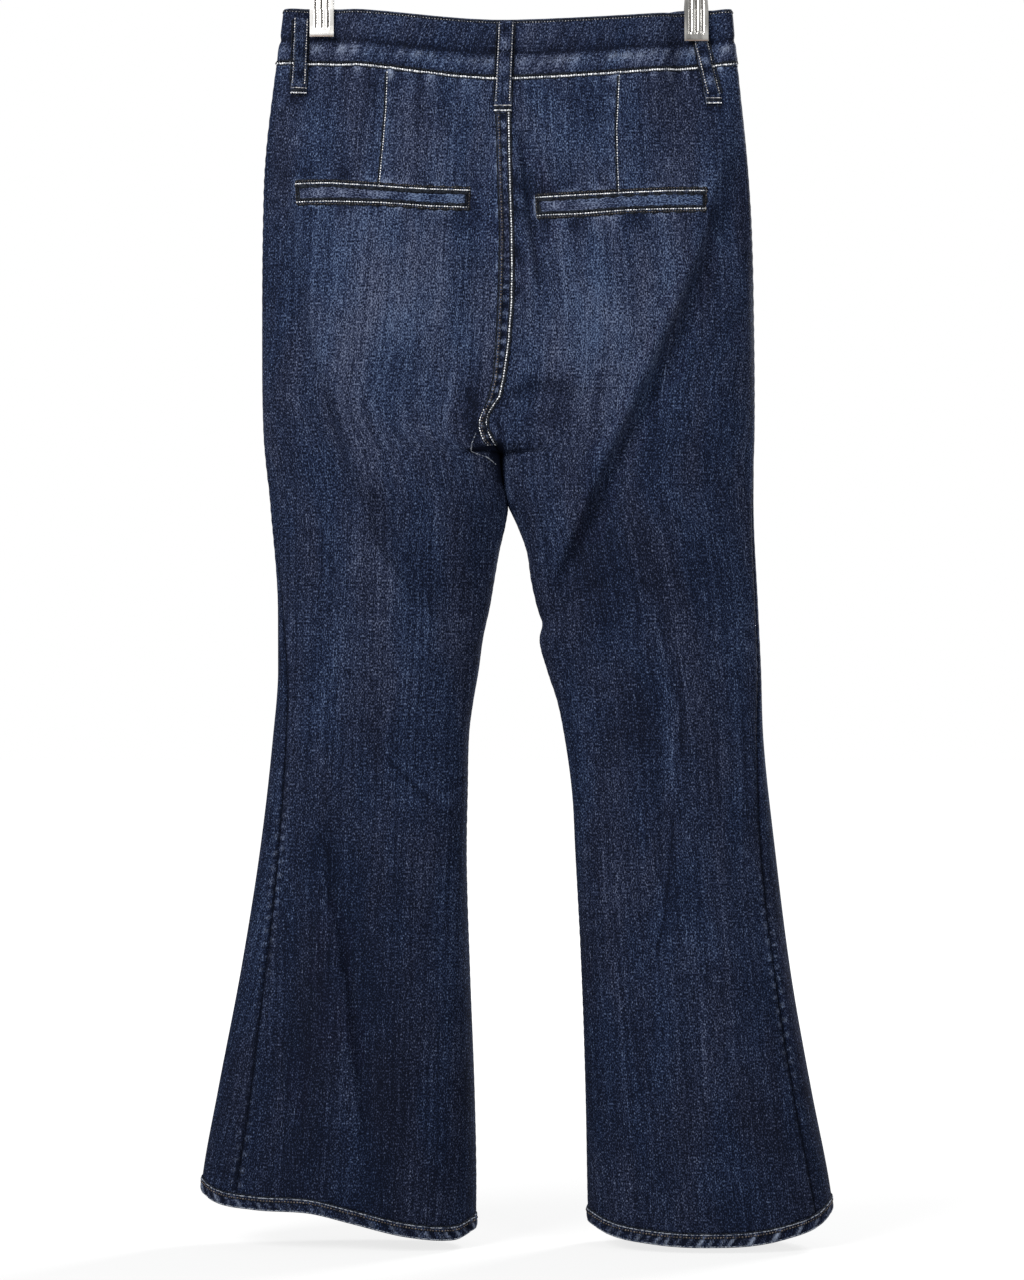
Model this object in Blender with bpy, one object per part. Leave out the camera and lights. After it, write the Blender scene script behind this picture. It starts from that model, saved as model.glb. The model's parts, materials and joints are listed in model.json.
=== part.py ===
"""Flared, high-waisted denim jeans hung by the waistband from a two-clip trouser hanger.

Frame: metres, +Z up. The origin is the crown of the hook, where a rail carries it. The jeans' back
faces -Y and their front +Y, so the wearer's left leg is on the -X side.

The cloth is one tube form that splits into two legs. point() gives any place on it from two
numbers: q runs down the garment (-1 waist edge, 0 waist seam, 1 crotch, 2 hem edge) and t runs
across a face (0 at the outer edge, 1 at the centre seam or the inseam). Every cut piece is a wall
made from a patch of that form. Lengths in the tables are in millimetres; a drop is measured down
from the waist edge at the side.
"""

import math

import bmesh
import bpy
import numpy as np
from mathutils import Matrix, Vector
from mathutils.bvhtree import BVHTree

MM = 0.001
LEFT, RIGHT = -1, 1
BACK, FRONT = -1, 1
GAP = 0.3  # between neighbouring pieces

# ---------------------------------------------------------------- driving dimensions, millimetres
WAIST_BELOW_HOOK = 107.0  # crown of the hook to the waist edge at the sides
SEAM_AT_SIDE = 48.0  # height of the waistband where it turns the side
BACK_WAIST_SAG = 11.0  # how far the waist edge hangs between the clips
BACK_SEAM_DROP = 62.5
FRONT_WAIST_SAG = 30.0
FRONT_SEAM_DROP = 80.0
CROTCH_AT_SIDE = 388.0
CROTCH_DROP = 391.0
HEM_HEIGHT = 12.0
FRONT_SEAM_BENDS = 340.0  # drop at which the centre front seam leaves the middle
HELD_TO = 0.17  # share of a face beside the outer edge in which the waist doesn't sag
LEVEL_FROM = 0.3  # q from which rows cross a face evenly, down to the crotch
HEM_FROM = 1.3  # q from which rows take on the hem's line

PANEL_WALL = 1.4
BAND_WALL = 2.5
BAND_PROUD = 0.6  # the band stands out from the panels by this much
HEM_WALL = 2.8
HEM_PROUD = 0.7
LAID_WALL = 1.3  # loops, welts and fly

CLIP_X = {LEFT: -164.5, RIGHT: 164.5}
CLIP_DROP = {LEFT: 25.0, RIGHT: 29.0}  # lower lip of each clip
CLIP_WIDTH = 21.0
PINCHED = 3.5  # middle plane to the cloth's outer face between the jaws
PINCH_MARGIN = 2.0  # flat cloth on each side of a clip
PINCH_REACH = 13.0  # and how far beyond that the pinch dies out
PINCH_DROP = 34.0  # the pinch is full down to here
PINCH_FADE = 90.0  # and has gone this much lower
JAW_WALL = 1.0
BAR_DROP = -14.0
BAR_LENGTH = 392.0
BAR_ACROSS = 4.4
HOOK_INSIDE = 20.0
HOOK_WIRE = 3.6

# ---------------------------------------------------------------- the form, by level
# Outer edge of each side, and how far its side seam has turned on to the back.
OUTER_COLUMNS = ("drop", "left", "right", "left_turn", "right_turn")
OUTER = (
    (0, 198, 196, 0, 0),
    (35, 202, 199, 0, 0),
    (60, 206, 202, 0, 0),
    (160, 215.5, 211.5, 0, 0),
    (290, 216.5, 215, -4, -4),
    (370, 215.5, 215.5, -4, 0),
    (430, 210.5, 215, 3, 6),
    (530, 203.5, 219.5, 13, 9),
    (580, 203.5, 222, 18, 10),
    (640, 208, 224, 23, 15),
    (740, 219.5, 234.5, 30, 26),
    (850, 237, 248.5, 38, 30),
    (950, 256, 266, 47, 34),
    (1030, 270, 281.5, 51, 35),
    (1080, 273, 288, 52, 35),
)
# Inner edge of each leg, measured towards its own side.
INNER_COLUMNS = ("drop", "left", "right")
INNER = (
    (391, 8, -8),
    (415, 8, -4.5),
    (436, 4, 0),
    (452, 2.5, 6),
    (476, 8, 15),
    (502, 12.5, 19),
    (528, 17, 25),
    (541, 20, 29),
    (553, 22.5, 26.5),
    (582, 26.5, 33.5),
    (608, 31, 42),
    (634, 34.5, 47.5),
    (687, 36, 55),
    (740, 37, 58),
    (846, 34, 63.5),
    (951, 30, 67),
    (1030, 28.5, 68.5),
    (1080, 29, 69.5),
)
# Centre back seam, which wanders as the cloth hangs.
SEAT_SEAM_COLUMNS = ("drop", "x")
SEAT_SEAM = (
    (0, -4),
    (108, -5),
    (160, -3.3),
    (212, -2),
    (256, -2.6),
    (291, -4.7),
    (321, -8),
    (347, -13.5),
    (362, -19),
    (374, -19),
    (385, -13),
    (391, -8),
)
# Half depth of the tube behind and in front of its middle plane, how far that plane has swung
# forward, and how much of a face's width its rounded edges take.
DEPTH_COLUMNS = ("drop", "back", "front", "swing", "outer_roll", "inner_roll")
DEPTH = (
    (0, 12, 10, 0, 0.16, 0.25),
    (30, 14, 12, 0, 0.18, 0.25),
    (62, 17, 14, 0, 0.24, 0.25),
    (110, 23, 18, -1, 0.36, 0.25),
    (200, 33, 25, -3, 0.48, 0.25),
    (300, 37, 29, -4, 0.52, 0.25),
    (391, 37, 31, -3, 0.52, 0.32),
    (480, 34, 31, 0, 0.52, 0.42),
    (600, 32, 31, 4, 0.52, 0.46),
    (750, 36, 34, 4, 0.52, 0.48),
    (900, 42, 39, 1, 0.52, 0.48),
    (1080, 48, 44, -3, 0.50, 0.48),
)
# The centre seams run down, then under, to the crotch: drop, and share of the full depth.
SEAM_UNDER = ((355, 1), (372, 0.96), (383, 0.8), (389, 0.48), (CROTCH_DROP, 0))
BACK_RISE = ((BACK_SEAM_DROP, 1), *SEAM_UNDER)
FRONT_RISE = ((FRONT_SEAM_DROP, 1), *SEAM_UNDER)
# Hem edges across each face, from the outer edge to the inseam.
HEM_COLUMNS = ("across", "left_back", "right_back", "left_front", "right_front")
HEM = (
    (0, 1037, 1053, 1037, 1053),
    (0.05, 1044, 1063, 1041, 1057),
    (0.2, 1049, 1074, 1047, 1066),
    (0.4, 1051, 1080, 1053, 1071),
    (0.55, 1059.5, 1080.5, 1058, 1072),
    (0.75, 1072, 1078, 1066, 1070),
    (0.92, 1077, 1072, 1071, 1067),
    (1, 1070, 1064, 1070, 1064),
)

# The largest folds. Each is a line through (x, drop) places. Seen from outside the back, with the
# line running away from its first place, the cloth falls on its left and rises on its right.
FOLD_COLUMNS = ("name", "face", "line", "rise", "rise_width", "fall", "fall_width")
FOLDS = (
    (
        "hip_right",
        BACK,
        ((199, 89), (194, 150), (176, 205), (150, 268), (116, 344), (84, 410), (50, 485), (30, 541)),
        4.0,
        34,
        9.0,
        34,
    ),
    (
        "hip_left",
        BACK,
        ((-120, 468), (-134, 420), (-158, 345), (-177, 275), (-186, 220), (-191, 160), (-197, 100)),
        3.0,
        36,
        7.0,
        30,
    ),
    (
        "thigh_left",
        BACK,
        ((-134, 424), (-112, 474), (-80, 520), (-42, 548), (-20, 556)),
        4.0,
        26,
        6.0,
        24,
    ),
    ("seat_centre", BACK, ((5, 105), (12, 165), (20, 220), (29, 262)), 2.0, 12, 3.0, 12),
    ("under_seat", BACK, ((66, 345), (44, 335), (18, 335), (0, 345)), 3.0, 16, 4.0, 14),
    ("knee_left", BACK, ((-140, 625), (-105, 655), (-70, 690), (-40, 700)), 2.0, 18, 3.0, 12),
    ("calf_left", BACK, ((-168, 690), (-150, 790), (-138, 870), (-130, 960)), 2.5, 26, 5.0, 30),
    ("knee_right", BACK, ((130, 930), (137, 810), (146, 740), (143, 640), (132, 580)), 3.0, 24, 3.0, 20),
    (
        "front_hip_right",
        FRONT,
        ((198, 95), (188, 180), (164, 270), (128, 350), (84, 430)),
        2.0,
        34,
        4.5,
        32,
    ),
    (
        "front_hip_left",
        FRONT,
        ((-70, 385), (-116, 330), (-158, 250), (-184, 170), (-196, 100)),
        2.0,
        32,
        4.0,
        30,
    ),
    ("front_knee_left", FRONT, ((-60, 560), (-100, 600), (-150, 620)), 2.0, 20, 3.5, 16),
    ("front_shin_right", FRONT, ((130, 620), (140, 740), (134, 860), (150, 980)), 3.0, 26, 4.0, 24),
    ("front_shin_left", FRONT, ((-120, 960), (-112, 850), (-124, 740)), 3.0, 24, 4.0, 22),
)
FOLD_EDGE = 7.0  # how quickly a fold turns from its rise to its fall
FOLD_FADE = 0.15  # share of a fold's length over which each end fades out
# Broad swellings: the seat, the thighs and the lap.
SWELL_COLUMNS = ("face", "x", "drop", "half_width", "half_height", "height")
SWELLS = (
    (BACK, -98, 225, 62, 105, 6.0),
    (BACK, 96, 235, 62, 110, 7.0),
    (BACK, -70, 430, 50, 70, 4.0),
    (BACK, 110, 440, 46, 80, 4.0),
    (FRONT, -90, 200, 60, 90, 4.0),
    (FRONT, 92, 205, 60, 90, 4.0),
)

# Pieces laid on the panels and the band, by (x, drop).
LOOP_COLUMNS = ("name", "face", "top", "bottom", "width", "free_from", "lift")
LOOPS = (
    ("belt_loop_back", BACK, (-2.5, 12.5), (-5.5, 93), 15.0, 22, 1.8),
    ("belt_loop_back_left", BACK, (-182.5, 8), (-184.5, 76), 13.0, 18, 1.8),
    ("belt_loop_back_right", BACK, (164.5, 8), (179.5, 85), 13.0, 36, 1.2),
    ("belt_loop_front_left", FRONT, (-108, 15), (-109, 86), 13.0, 24, 1.8),
    ("belt_loop_front_right", FRONT, (108, 15), (109, 86), 13.0, 24, 1.8),
)
# Welts: upper inner, upper outer, lower outer and lower inner corner.
WELTS = {
    "welt_left": ((-38, 164), (-182.5, 157.5), (-181, 171.5), (-38.5, 178)),
    "welt_right": ((27, 170.5), (168.5, 164.5), (168, 177.5), (27.5, 184.5)),
}
TACK_LENGTH = 13.0
LOOP_ROWS, LOOP_ACROSS = 13, 4  # points down and across a loop
LOOP_ARCH = 0.7  # a loop's lift is a half wave, squarer below 1
WELT_ROWS, WELT_ACROSS = 3, 17
# Each cut panel is built as a stack of shorter solids a gap apart, so that collision hulls follow
# its curve: for each side, the solids' names and the rows of the panel at which they start and end.
PANEL_STACKS = {
    LEFT: (("upper", 0, 16), ("middle", 16, 30), ("lower", 30, 42)),
    RIGHT: (("upper", 0, 25), ("lower", 25, 42)),
}
CARRIERS = (
    *(f"{half}_left_{part}" for half in ("back", "front") for part, _, _ in PANEL_STACKS[LEFT]),
    *(f"{half}_right_{part}" for half in ("back", "front") for part, _, _ in PANEL_STACKS[RIGHT]),
    "waistband",
)
FLY_WIDTH = 38.0
FLY_LENGTH = 152.0
FLY_LAP = 4.0
FLY_TOP = 1.5  # below the waist seam
FLY_RISE = 3.0  # its top follows the waist seam up by this much
FLY_BENDS_AT = 0.72  # share of its length at which its outer edge starts to curve in
FLY_CLOSES = 0.97  # share of its width that the curve takes up
FLY_ROWS, FLY_ACROSS = 12, 5
BUTTON_X = -13.0
BUTTON_DROP = 55.0
BUTTON_ACROSS = 17.0
BUTTON_FACETS = 28
BUTTON_OFF = 0.2  # its back clears the band by a gap and this
# The button turned about its shank: height above its back, and share of its full radius.
BUTTON_LEVELS = ((0, 0.9), (0.9, 1), (2, 1), (2.8, 0.9), (3.1, 0.6), (2.7, 0.45), (2.7, 0.08))


def column(table, columns, name):
    return np.array([row[columns.index(name)] for row in table], float)


def curve(at, table, columns, name):
    """A cubic through one column of a table against its first column, never past a row's value."""
    x, y = column(table, columns, columns[0]), column(table, columns, name)
    slope = np.diff(y) / np.diff(x)
    tangent = np.concatenate([slope[:1], (slope[1:] + slope[:-1]) / 2, slope[-1:]])
    tangent[1:-1][slope[1:] * slope[:-1] <= 0] = 0
    steep = 3 * np.minimum(np.abs(np.append(slope, slope[-1])), np.abs(np.insert(slope, 0, slope[0])))
    tangent = np.clip(tangent, -steep, steep)
    at = np.clip(at, x[0], x[-1])
    k = np.clip(np.searchsorted(x, at, side="right") - 1, 0, len(x) - 2)
    span = x[k + 1] - x[k]
    u = (at - x[k]) / span
    ends = y[k] * (1 + 2 * u) * (1 - u) ** 2 + y[k + 1] * u * u * (3 - 2 * u)
    return ends + span * (tangent[k] * u * (1 - u) ** 2 - tangent[k + 1] * u * u * (1 - u))


def ease(u):
    u = np.clip(u, 0, 1)
    return u * u * (3 - 2 * u)


def rise_along(path, q):
    """Drop and share of depth at q from 0 to 1 down a centre seam, even in length along it."""
    path = np.array(path, float)
    full = column(DEPTH, DEPTH_COLUMNS, "back").max()
    steps = np.hypot(np.diff(path[:, 0]), np.diff(path[:, 1]) * full)
    along = np.concatenate([[0], np.cumsum(steps)]) / steps.sum()
    return np.interp(q, along, path[:, 0]), np.interp(q, along, path[:, 1])


def side_name(side):
    return "left" if side == LEFT else "right"


def hem_name(side, face):
    return side_name(side) + ("_back" if face == BACK else "_front")


def hem_end(side, last):
    return HEM[-1 if last else 0][HEM_COLUMNS.index(hem_name(side, BACK))]


def rails(side, face, q):
    """Drop of the row at q where it meets the outer and the inner edge, and the seam's depth."""
    outer = np.interp(q, (-1, 0, 1, 2), (0, SEAM_AT_SIDE, CROTCH_AT_SIDE, hem_end(side, False)))
    sag, rise = (BACK_WAIST_SAG, BACK_RISE) if face == BACK else (FRONT_WAIST_SAG, FRONT_RISE)
    drop, share = rise_along(rise, np.clip(q, 0, 1))
    band = sag + (rise[0][0] - sag) * (q + 1)
    leg = CROTCH_DROP + (hem_end(side, True) - CROTCH_DROP) * (q - 1)
    return outer, np.where(q < 0, band, np.where(q > 1, leg, drop)), share


def rounded(u, power=2.2):
    u = np.clip(u, 0, 1)
    return (1 - (1 - u) ** power) ** (1 / power)


def fold_height(x, drop, line, rise, rise_width, fall, fall_width):
    line = np.array(line, float)
    nearest = np.full(np.shape(x), 1e9)
    signed = np.zeros(np.shape(x))
    along = np.zeros(np.shape(x))
    lengths = np.hypot(*np.diff(line, axis=0).T)
    started = 0.0
    for (ax, ad), (bx, bd), length in zip(line[:-1], line[1:], lengths):
        ux, ud = (bx - ax) / length, (bd - ad) / length
        run = np.clip((x - ax) * ux + (drop - ad) * ud, 0, length)
        dx, dd = x - ax - run * ux, drop - ad - run * ud
        away = np.hypot(dx, dd)
        closer = away < nearest
        nearest = np.where(closer, away, nearest)
        signed = np.where(closer, np.sign(dx * ud - dd * ux) * away, signed)
        along = np.where(closer, (started + run) / lengths.sum(), along)
        started += length
    ends = ease(along / FOLD_FADE) * ease((1 - along) / FOLD_FADE)
    left = 0.5 + 0.5 * np.tanh(signed / FOLD_EDGE)
    down = -fall * np.exp(-((signed / fall_width) ** 2))
    up = rise * np.exp(-((signed / rise_width) ** 2))
    return ends * (down * left + up * (1 - left))


def relief(face, x, drop):
    """Height of the folds and swellings above the plain tube."""
    height = np.zeros(np.shape(x))
    for _, on, line, rise, rise_width, fall, fall_width in FOLDS:
        if on == face:
            height = height + fold_height(x, drop, line, rise, rise_width, fall, fall_width)
    for on, mid_x, mid_drop, half_width, half_height, top in SWELLS:
        if on == face:
            away = ((x - mid_x) / half_width) ** 2 + ((drop - mid_drop) / half_height) ** 2
            height = height + top * np.exp(-away)
    return height


def point(side, face, q, t):
    """A place on the cloth's outer face: x, y and z in millimetres from the hook's crown."""
    q, t = np.broadcast_arrays(np.asarray(q, float), np.asarray(t, float))
    outer_drop, inner_drop, share = rails(side, face, q)
    outer_x = side * curve(outer_drop, OUTER, OUTER_COLUMNS, side_name(side))
    if face == BACK:
        seam_x = curve(inner_drop, SEAT_SEAM, SEAT_SEAM_COLUMNS, "x")
    else:
        bent = ease((inner_drop - FRONT_SEAM_BENDS) / (CROTCH_DROP - FRONT_SEAM_BENDS))
        seam_x = SEAT_SEAM[-1][1] * bent
    inner_x = np.where(q < 1, seam_x, side * curve(inner_drop, INNER, INNER_COLUMNS, side_name(side)))
    x = outer_x + (inner_x - outer_x) * t

    hung = ease((t - HELD_TO) / (1 - HELD_TO))  # the waist sags between the clips only
    fall = hung + (ease(t) - hung) * ease((q - LEVEL_FROM) / (1 - LEVEL_FROM))
    drop = outer_drop + (inner_drop - outer_drop) * fall
    hem_ends = hem_end(side, False) + (hem_end(side, True) - hem_end(side, False)) * ease(t)
    hem = curve(t, HEM, HEM_COLUMNS, hem_name(side, face))
    drop = drop + (hem - hem_ends) * ease((q - HEM_FROM) / (2 - HEM_FROM))

    depth = curve(drop, DEPTH, DEPTH_COLUMNS, "back" if face == BACK else "front")
    outer_roll = curve(drop, DEPTH, DEPTH_COLUMNS, "outer_roll")
    inner_roll = curve(drop, DEPTH, DEPTH_COLUMNS, "inner_roll")
    inside = np.where(q < 1, share, 0)
    inside = inside + (1 - inside) * rounded((1 - t) / inner_roll)
    y = rounded(t / outer_roll) * inside * (depth + relief(face, x, drop))

    beside = np.maximum(np.abs(x - CLIP_X[side]) - CLIP_WIDTH / 2 - PINCH_MARGIN, 0)
    pinch = np.exp(-((beside / PINCH_REACH) ** 2)) * (1 - ease((drop - PINCH_DROP) / PINCH_FADE))
    y = y + (np.minimum(PINCHED, y) - y) * pinch
    y = face * y + curve(drop, DEPTH, DEPTH_COLUMNS, "swing")
    return np.stack([x, y, -WAIST_BELOW_HOOK - drop], axis=-1)


def turn_share(side, q):
    """How far the side seam lies on the back, in millimetres from the outer edge."""
    return curve(rails(side, BACK, q)[0], OUTER, OUTER_COLUMNS, side_name(side) + "_turn")


BEND_ROOM = 24.0  # a turn of one radian takes as many columns as this length of flat cloth
FINE = 90  # samples across one face before the columns are spread


def spread(line, stops, counts):
    """Places along one row's line, between the given stops, closer together where it bends."""
    steps = np.diff(line, axis=0)
    lengths = np.linalg.norm(steps, axis=1)
    ways = steps / lengths[:, None]
    turns = np.concatenate([[0], np.arccos(np.clip((ways[1:] * ways[:-1]).sum(1), -1, 1))])
    length = np.concatenate([[0], np.cumsum(lengths)])
    weight = np.concatenate([[0], np.cumsum(lengths + BEND_ROOM * turns)])
    marks = np.interp(stops, length, weight)
    parts = [np.linspace(a, b, n) for a, b, n in zip(marks, marks[1:], counts)]
    at = np.concatenate([parts[0], *(part[1:] for part in parts[1:])])
    return np.stack([np.interp(at, weight, line[:, k]) for k in range(3)], axis=1)


def side_grid(side, rows, back_columns, front_columns):
    """Points of one side's cloth, row by row, from the back's inner edge round to the front's."""
    across = (1 - np.cos(np.linspace(0, np.pi, FINE))) / 2
    q = np.asarray(rows, float)
    back = point(side, BACK, q[:, None], 1 - across[None])
    front = point(side, FRONT, q[:, None], across[None])
    grid = []
    for row_back, row_front, seam in zip(back, front, turn_share(side, q)):
        line = np.concatenate([row_back, row_front[1:]])
        reach = np.linalg.norm(np.diff(row_back, axis=0), axis=1).sum()
        whole = np.linalg.norm(np.diff(line, axis=0), axis=1).sum()
        grid.append(spread(line, (0, reach - seam, whole), (back_columns, front_columns)))
    return np.array(grid)


def outward(grid, rows, side):
    """Unit normals that point out of the cloth, shared by the pieces that meet at a seam."""
    across = np.gradient(grid, axis=1)
    closed = np.asarray(rows) >= 1 - 1e-6
    wrap = grid[:, 1] - grid[:, -2]
    across[closed, 0] = wrap[closed] / 2
    across[closed, -1] = wrap[closed] / 2
    down = np.gradient(grid, axis=0)
    normal = np.cross(down, across) * side
    normal[~closed, 0, 0] = 0  # both sides of a centre seam share one normal
    normal[~closed, -1, 0] = 0
    return normal / np.linalg.norm(normal, axis=2, keepdims=True)


def drawn_in(grid, ends=(True, True)):
    """The same points with its first and last column half a gap further in."""
    moved = grid.copy()
    for end, inner, wanted in ((0, 1, ends[0]), (-1, -2, ends[1])):
        way = grid[:, inner] - grid[:, end]
        way = way / np.linalg.norm(way, axis=1, keepdims=True)
        if wanted:
            moved[:, end] += way * GAP / 2
    return moved


def off_centre(grid, rows, side, end):
    """The same points with the centre-seam column half a gap away from the other side's."""
    moved = grid.copy()
    moved[np.asarray(rows) <= 1 + 2 * HEM_GAP, end, 0] += side * GAP / 2
    return moved


# ---------------------------------------------------------------- making objects
def material(name, colour, roughness, metallic=0.0):
    made = bpy.data.materials.get(name) or bpy.data.materials.new(name)
    made.use_nodes = True
    shader = made.node_tree.nodes["Principled BSDF"]
    shader.inputs["Base Color"].default_value = (*colour, 1)
    shader.inputs["Roughness"].default_value = roughness
    shader.inputs["Metallic"].default_value = metallic
    return made


def denim():
    return material("denim", (0.030, 0.047, 0.100), 0.85)


def steel():
    return material("steel", (0.62, 0.61, 0.59), 0.3, 1.0)


def button_metal():
    return material("button_metal", (0.42, 0.36, 0.28), 0.35, 1.0)


def object_of(bm, name, finish, sharp=40.0):
    bmesh.ops.recalc_face_normals(bm, faces=bm.faces)
    mesh = bpy.data.meshes.new(name)
    bm.to_mesh(mesh)
    bm.free()
    mesh.shade_smooth()
    mesh.set_sharp_from_angle(angle=math.radians(sharp))
    mesh.materials.append(finish)
    made = bpy.data.objects.new(name, mesh)
    bpy.context.scene.collection.objects.link(made)
    return made


def wall(name, outer, inner, finish, ring=False):
    """A closed wall between two grids of points: a sheet, drawn through to its other face."""
    rows, columns = outer.shape[:2]
    bm = bmesh.new()
    place = bm.verts.layers.int.new("place")
    sheet = bmesh.ops.create_grid(bm, x_segments=columns - 1, y_segments=rows - 1, size=1)
    for k, vert in enumerate(sheet["verts"]):
        vert[place] = k
        vert.co = Vector(outer[k // columns, k % columns]) * MM
    if ring:
        bmesh.ops.remove_doubles(bm, verts=bm.verts, dist=1e-6)
    drawn = bmesh.ops.extrude_face_region(bm, geom=bm.faces[:])
    for vert in (part for part in drawn["geom"] if isinstance(part, bmesh.types.BMVert)):
        k = vert[place]
        vert.co = Vector(inner[k // columns, k % columns]) * MM
    return object_of(bm, name, finish)


def thick(name, grid, normals, proud, through, finish, ring=False):
    """A wall whose outer face stands proud of the form and that is so thick through."""
    outer = grid + normals * proud
    inner = grid + normals * (proud - through)
    return wall(name, outer, inner, finish, ring)


def surface_normals(grid, face):
    normal = np.cross(np.gradient(grid, axis=0), np.gradient(grid, axis=1))
    normal = normal / np.linalg.norm(normal, axis=2, keepdims=True)
    return normal * np.sign(normal[..., 1:2] * face)


def carrier(names):
    """The named pieces as one tree that can be probed."""
    bm = bmesh.new()
    for name in names:
        bm.from_mesh(bpy.data.objects[name].data)
    tree = BVHTree.FromBMesh(bm)
    bm.free()
    return tree


def height_over(tree, face, x, z):
    """How far out the carrier's surface stands at each x and z, in millimetres.

    Each place is probed a little above and below, so that the gap at a seam isn't fallen into.
    """
    x, z = np.broadcast_arrays(x, z)
    heights = np.full(x.shape, -200.0)
    for index in np.ndindex(*x.shape):
        for step in (-GAP, GAP):
            start = Vector((x[index], face * 200.0, z[index] + step)) * MM
            hit = tree.ray_cast(start, Vector((0, -face, 0)))[0]
            if hit:
                heights[index] = max(heights[index], face * hit.y / MM)
    return heights


PROBES = np.linspace(0, 1, 5)


def laid(name, face, x, drop, lift=0.0, through=LAID_WALL):
    """A strip laid on the cloth: its under face clears the carrier by a gap, plus any lift."""
    tree = carrier(CARRIERS)
    z = -WAIST_BELOW_HOOK - drop
    high = height_over(tree, face, x, z) + GAP
    probes = [(u, v) for u in PROBES for v in PROBES]
    corners = (slice(None, -1), slice(1, None))
    for _ in range(4):
        for u, v in probes:
            shares = {(0, 0): (1 - u) * (1 - v), (1, 0): u * (1 - v), (0, 1): (1 - u) * v, (1, 1): u * v}
            at_x, at_z, now = (
                sum(share * part[corners[i], corners[j]] for (i, j), share in shares.items())
                for part in (x, z, high)
            )
            lack = np.maximum(height_over(tree, face, at_x, at_z) + GAP - now, 0)
            for (i, j), share in shares.items():
                part = high[corners[i], corners[j]]
                part[...] = np.where(share > 0.2, np.maximum(part, part + lack), part)
    under = np.stack([x, face * (high + lift), z], axis=-1)
    wall(name, under + surface_normals(under, face) * through, under, denim())


# ---------------------------------------------------------------- the cloth
BACK_COLUMNS, FRONT_COLUMNS = 16, 13
RISE_LENGTH = 340.0  # the cloth's length per unit of q, above the crotch
LEG_LENGTH = 665.0  # and below it
BAND_HEIGHT = 50.0
SEAM_GAP = GAP / 2 / RISE_LENGTH
HEM_SHARE = HEM_HEIGHT / LEG_LENGTH
HEM_GAP = GAP / 2 / LEG_LENGTH
# The rows of a panel, closest together at the crotch: runs of q, and how many rows each takes.
ROW_RUNS = (
    (SEAM_GAP, 0.78, 12),
    (0.78, 1.0, 6),
    (1.0, 1.16, 6),
    (1.16, 2 - HEM_SHARE - HEM_GAP, 22),
)
RUNS = [np.linspace(start, end, count) for start, end, count in ROW_RUNS]
PANEL_ROWS = np.concatenate([RUNS[0], *(run[1:] for run in RUNS[1:])])
BAND_ROWS = np.linspace(-1, -GAP / 2 / BAND_HEIGHT, 5)
HEM_ROWS = np.linspace(2 - HEM_SHARE + HEM_GAP, 2, 3)


def panel_rows(first, last):
    """Rows of one solid of a panel, half a gap short of its neighbours above and below."""
    rows = PANEL_ROWS[first : last + 1].copy()
    if first > 0:
        rows[0] += HEM_GAP if rows[0] >= 1 else SEAM_GAP
    if last < len(PANEL_ROWS) - 1:
        rows[-1] -= HEM_GAP if rows[-1] > 1 else SEAM_GAP
    return rows


def panels(side):
    whole = side_grid(side, PANEL_ROWS, BACK_COLUMNS, FRONT_COLUMNS)
    whole_normals = outward(whole, PANEL_ROWS, side)
    for part, first, last in PANEL_STACKS[side]:
        rows = panel_rows(first, last)
        grid = side_grid(side, rows, BACK_COLUMNS, FRONT_COLUMNS)
        normals = whole_normals[first : last + 1]
        for face in (BACK, FRONT):
            cut = slice(0, BACK_COLUMNS) if face == BACK else slice(BACK_COLUMNS - 1, None)
            patch = drawn_in(grid[:, cut])
            patch = off_centre(patch, rows, side, 0 if face == BACK else -1)
            name = ("back_" if face == BACK else "front_") + side_name(side) + "_" + part
            thick(name, patch, normals[:, cut], 0, PANEL_WALL, denim())


def waistband():
    """One curved strip, whose ends meet at the centre front under the button."""
    sides = {side: side_grid(side, BAND_ROWS, BACK_COLUMNS, FRONT_COLUMNS) for side in (LEFT, RIGHT)}
    normals = {side: outward(sides[side], BAND_ROWS, side) for side in sides}
    grid = np.concatenate([sides[LEFT][:, ::-1], sides[RIGHT][:, 1:]], axis=1)
    out = np.concatenate([normals[LEFT][:, ::-1], normals[RIGHT][:, 1:]], axis=1)
    grid[:, 0, 0] -= GAP / 2
    grid[:, -1, 0] += GAP / 2
    thick("waistband", grid, out, BAND_PROUD, BAND_WALL, denim())


def hems(side):
    grid = side_grid(side, HEM_ROWS, BACK_COLUMNS, FRONT_COLUMNS)
    normals = outward(grid, HEM_ROWS, side)
    thick("hem_" + side_name(side), grid, normals, HEM_PROUD, HEM_WALL, denim(), ring=True)


def belt_loop(name, face, top, bottom, width, free_from, lift):
    down = np.linspace(0, 1, LOOP_ROWS)[:, None]
    across = np.linspace(-0.5, 0.5, LOOP_ACROSS)[None] * width
    x = top[0] + (bottom[0] - top[0]) * down + across
    drop = top[1] + (bottom[1] - top[1]) * down + np.zeros_like(across)
    free = np.clip((drop - free_from) / (bottom[1] - TACK_LENGTH - free_from), 0, 1)
    laid(name, face, x, drop, lift * np.sin(np.pi * free) ** LOOP_ARCH)


def welt(name, corners):
    inner_top, outer_top, outer_low, inner_low = (np.array(c, float) for c in corners)
    across = np.linspace(0, 1, WELT_ACROSS)[None, :, None]
    down = np.linspace(0, 1, WELT_ROWS)[:, None, None]
    upper = inner_top + (outer_top - inner_top) * across
    lower = inner_low + (outer_low - inner_low) * across
    flat = upper + (lower - upper) * down
    laid(name, BACK, flat[..., 0], flat[..., 1])


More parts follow.
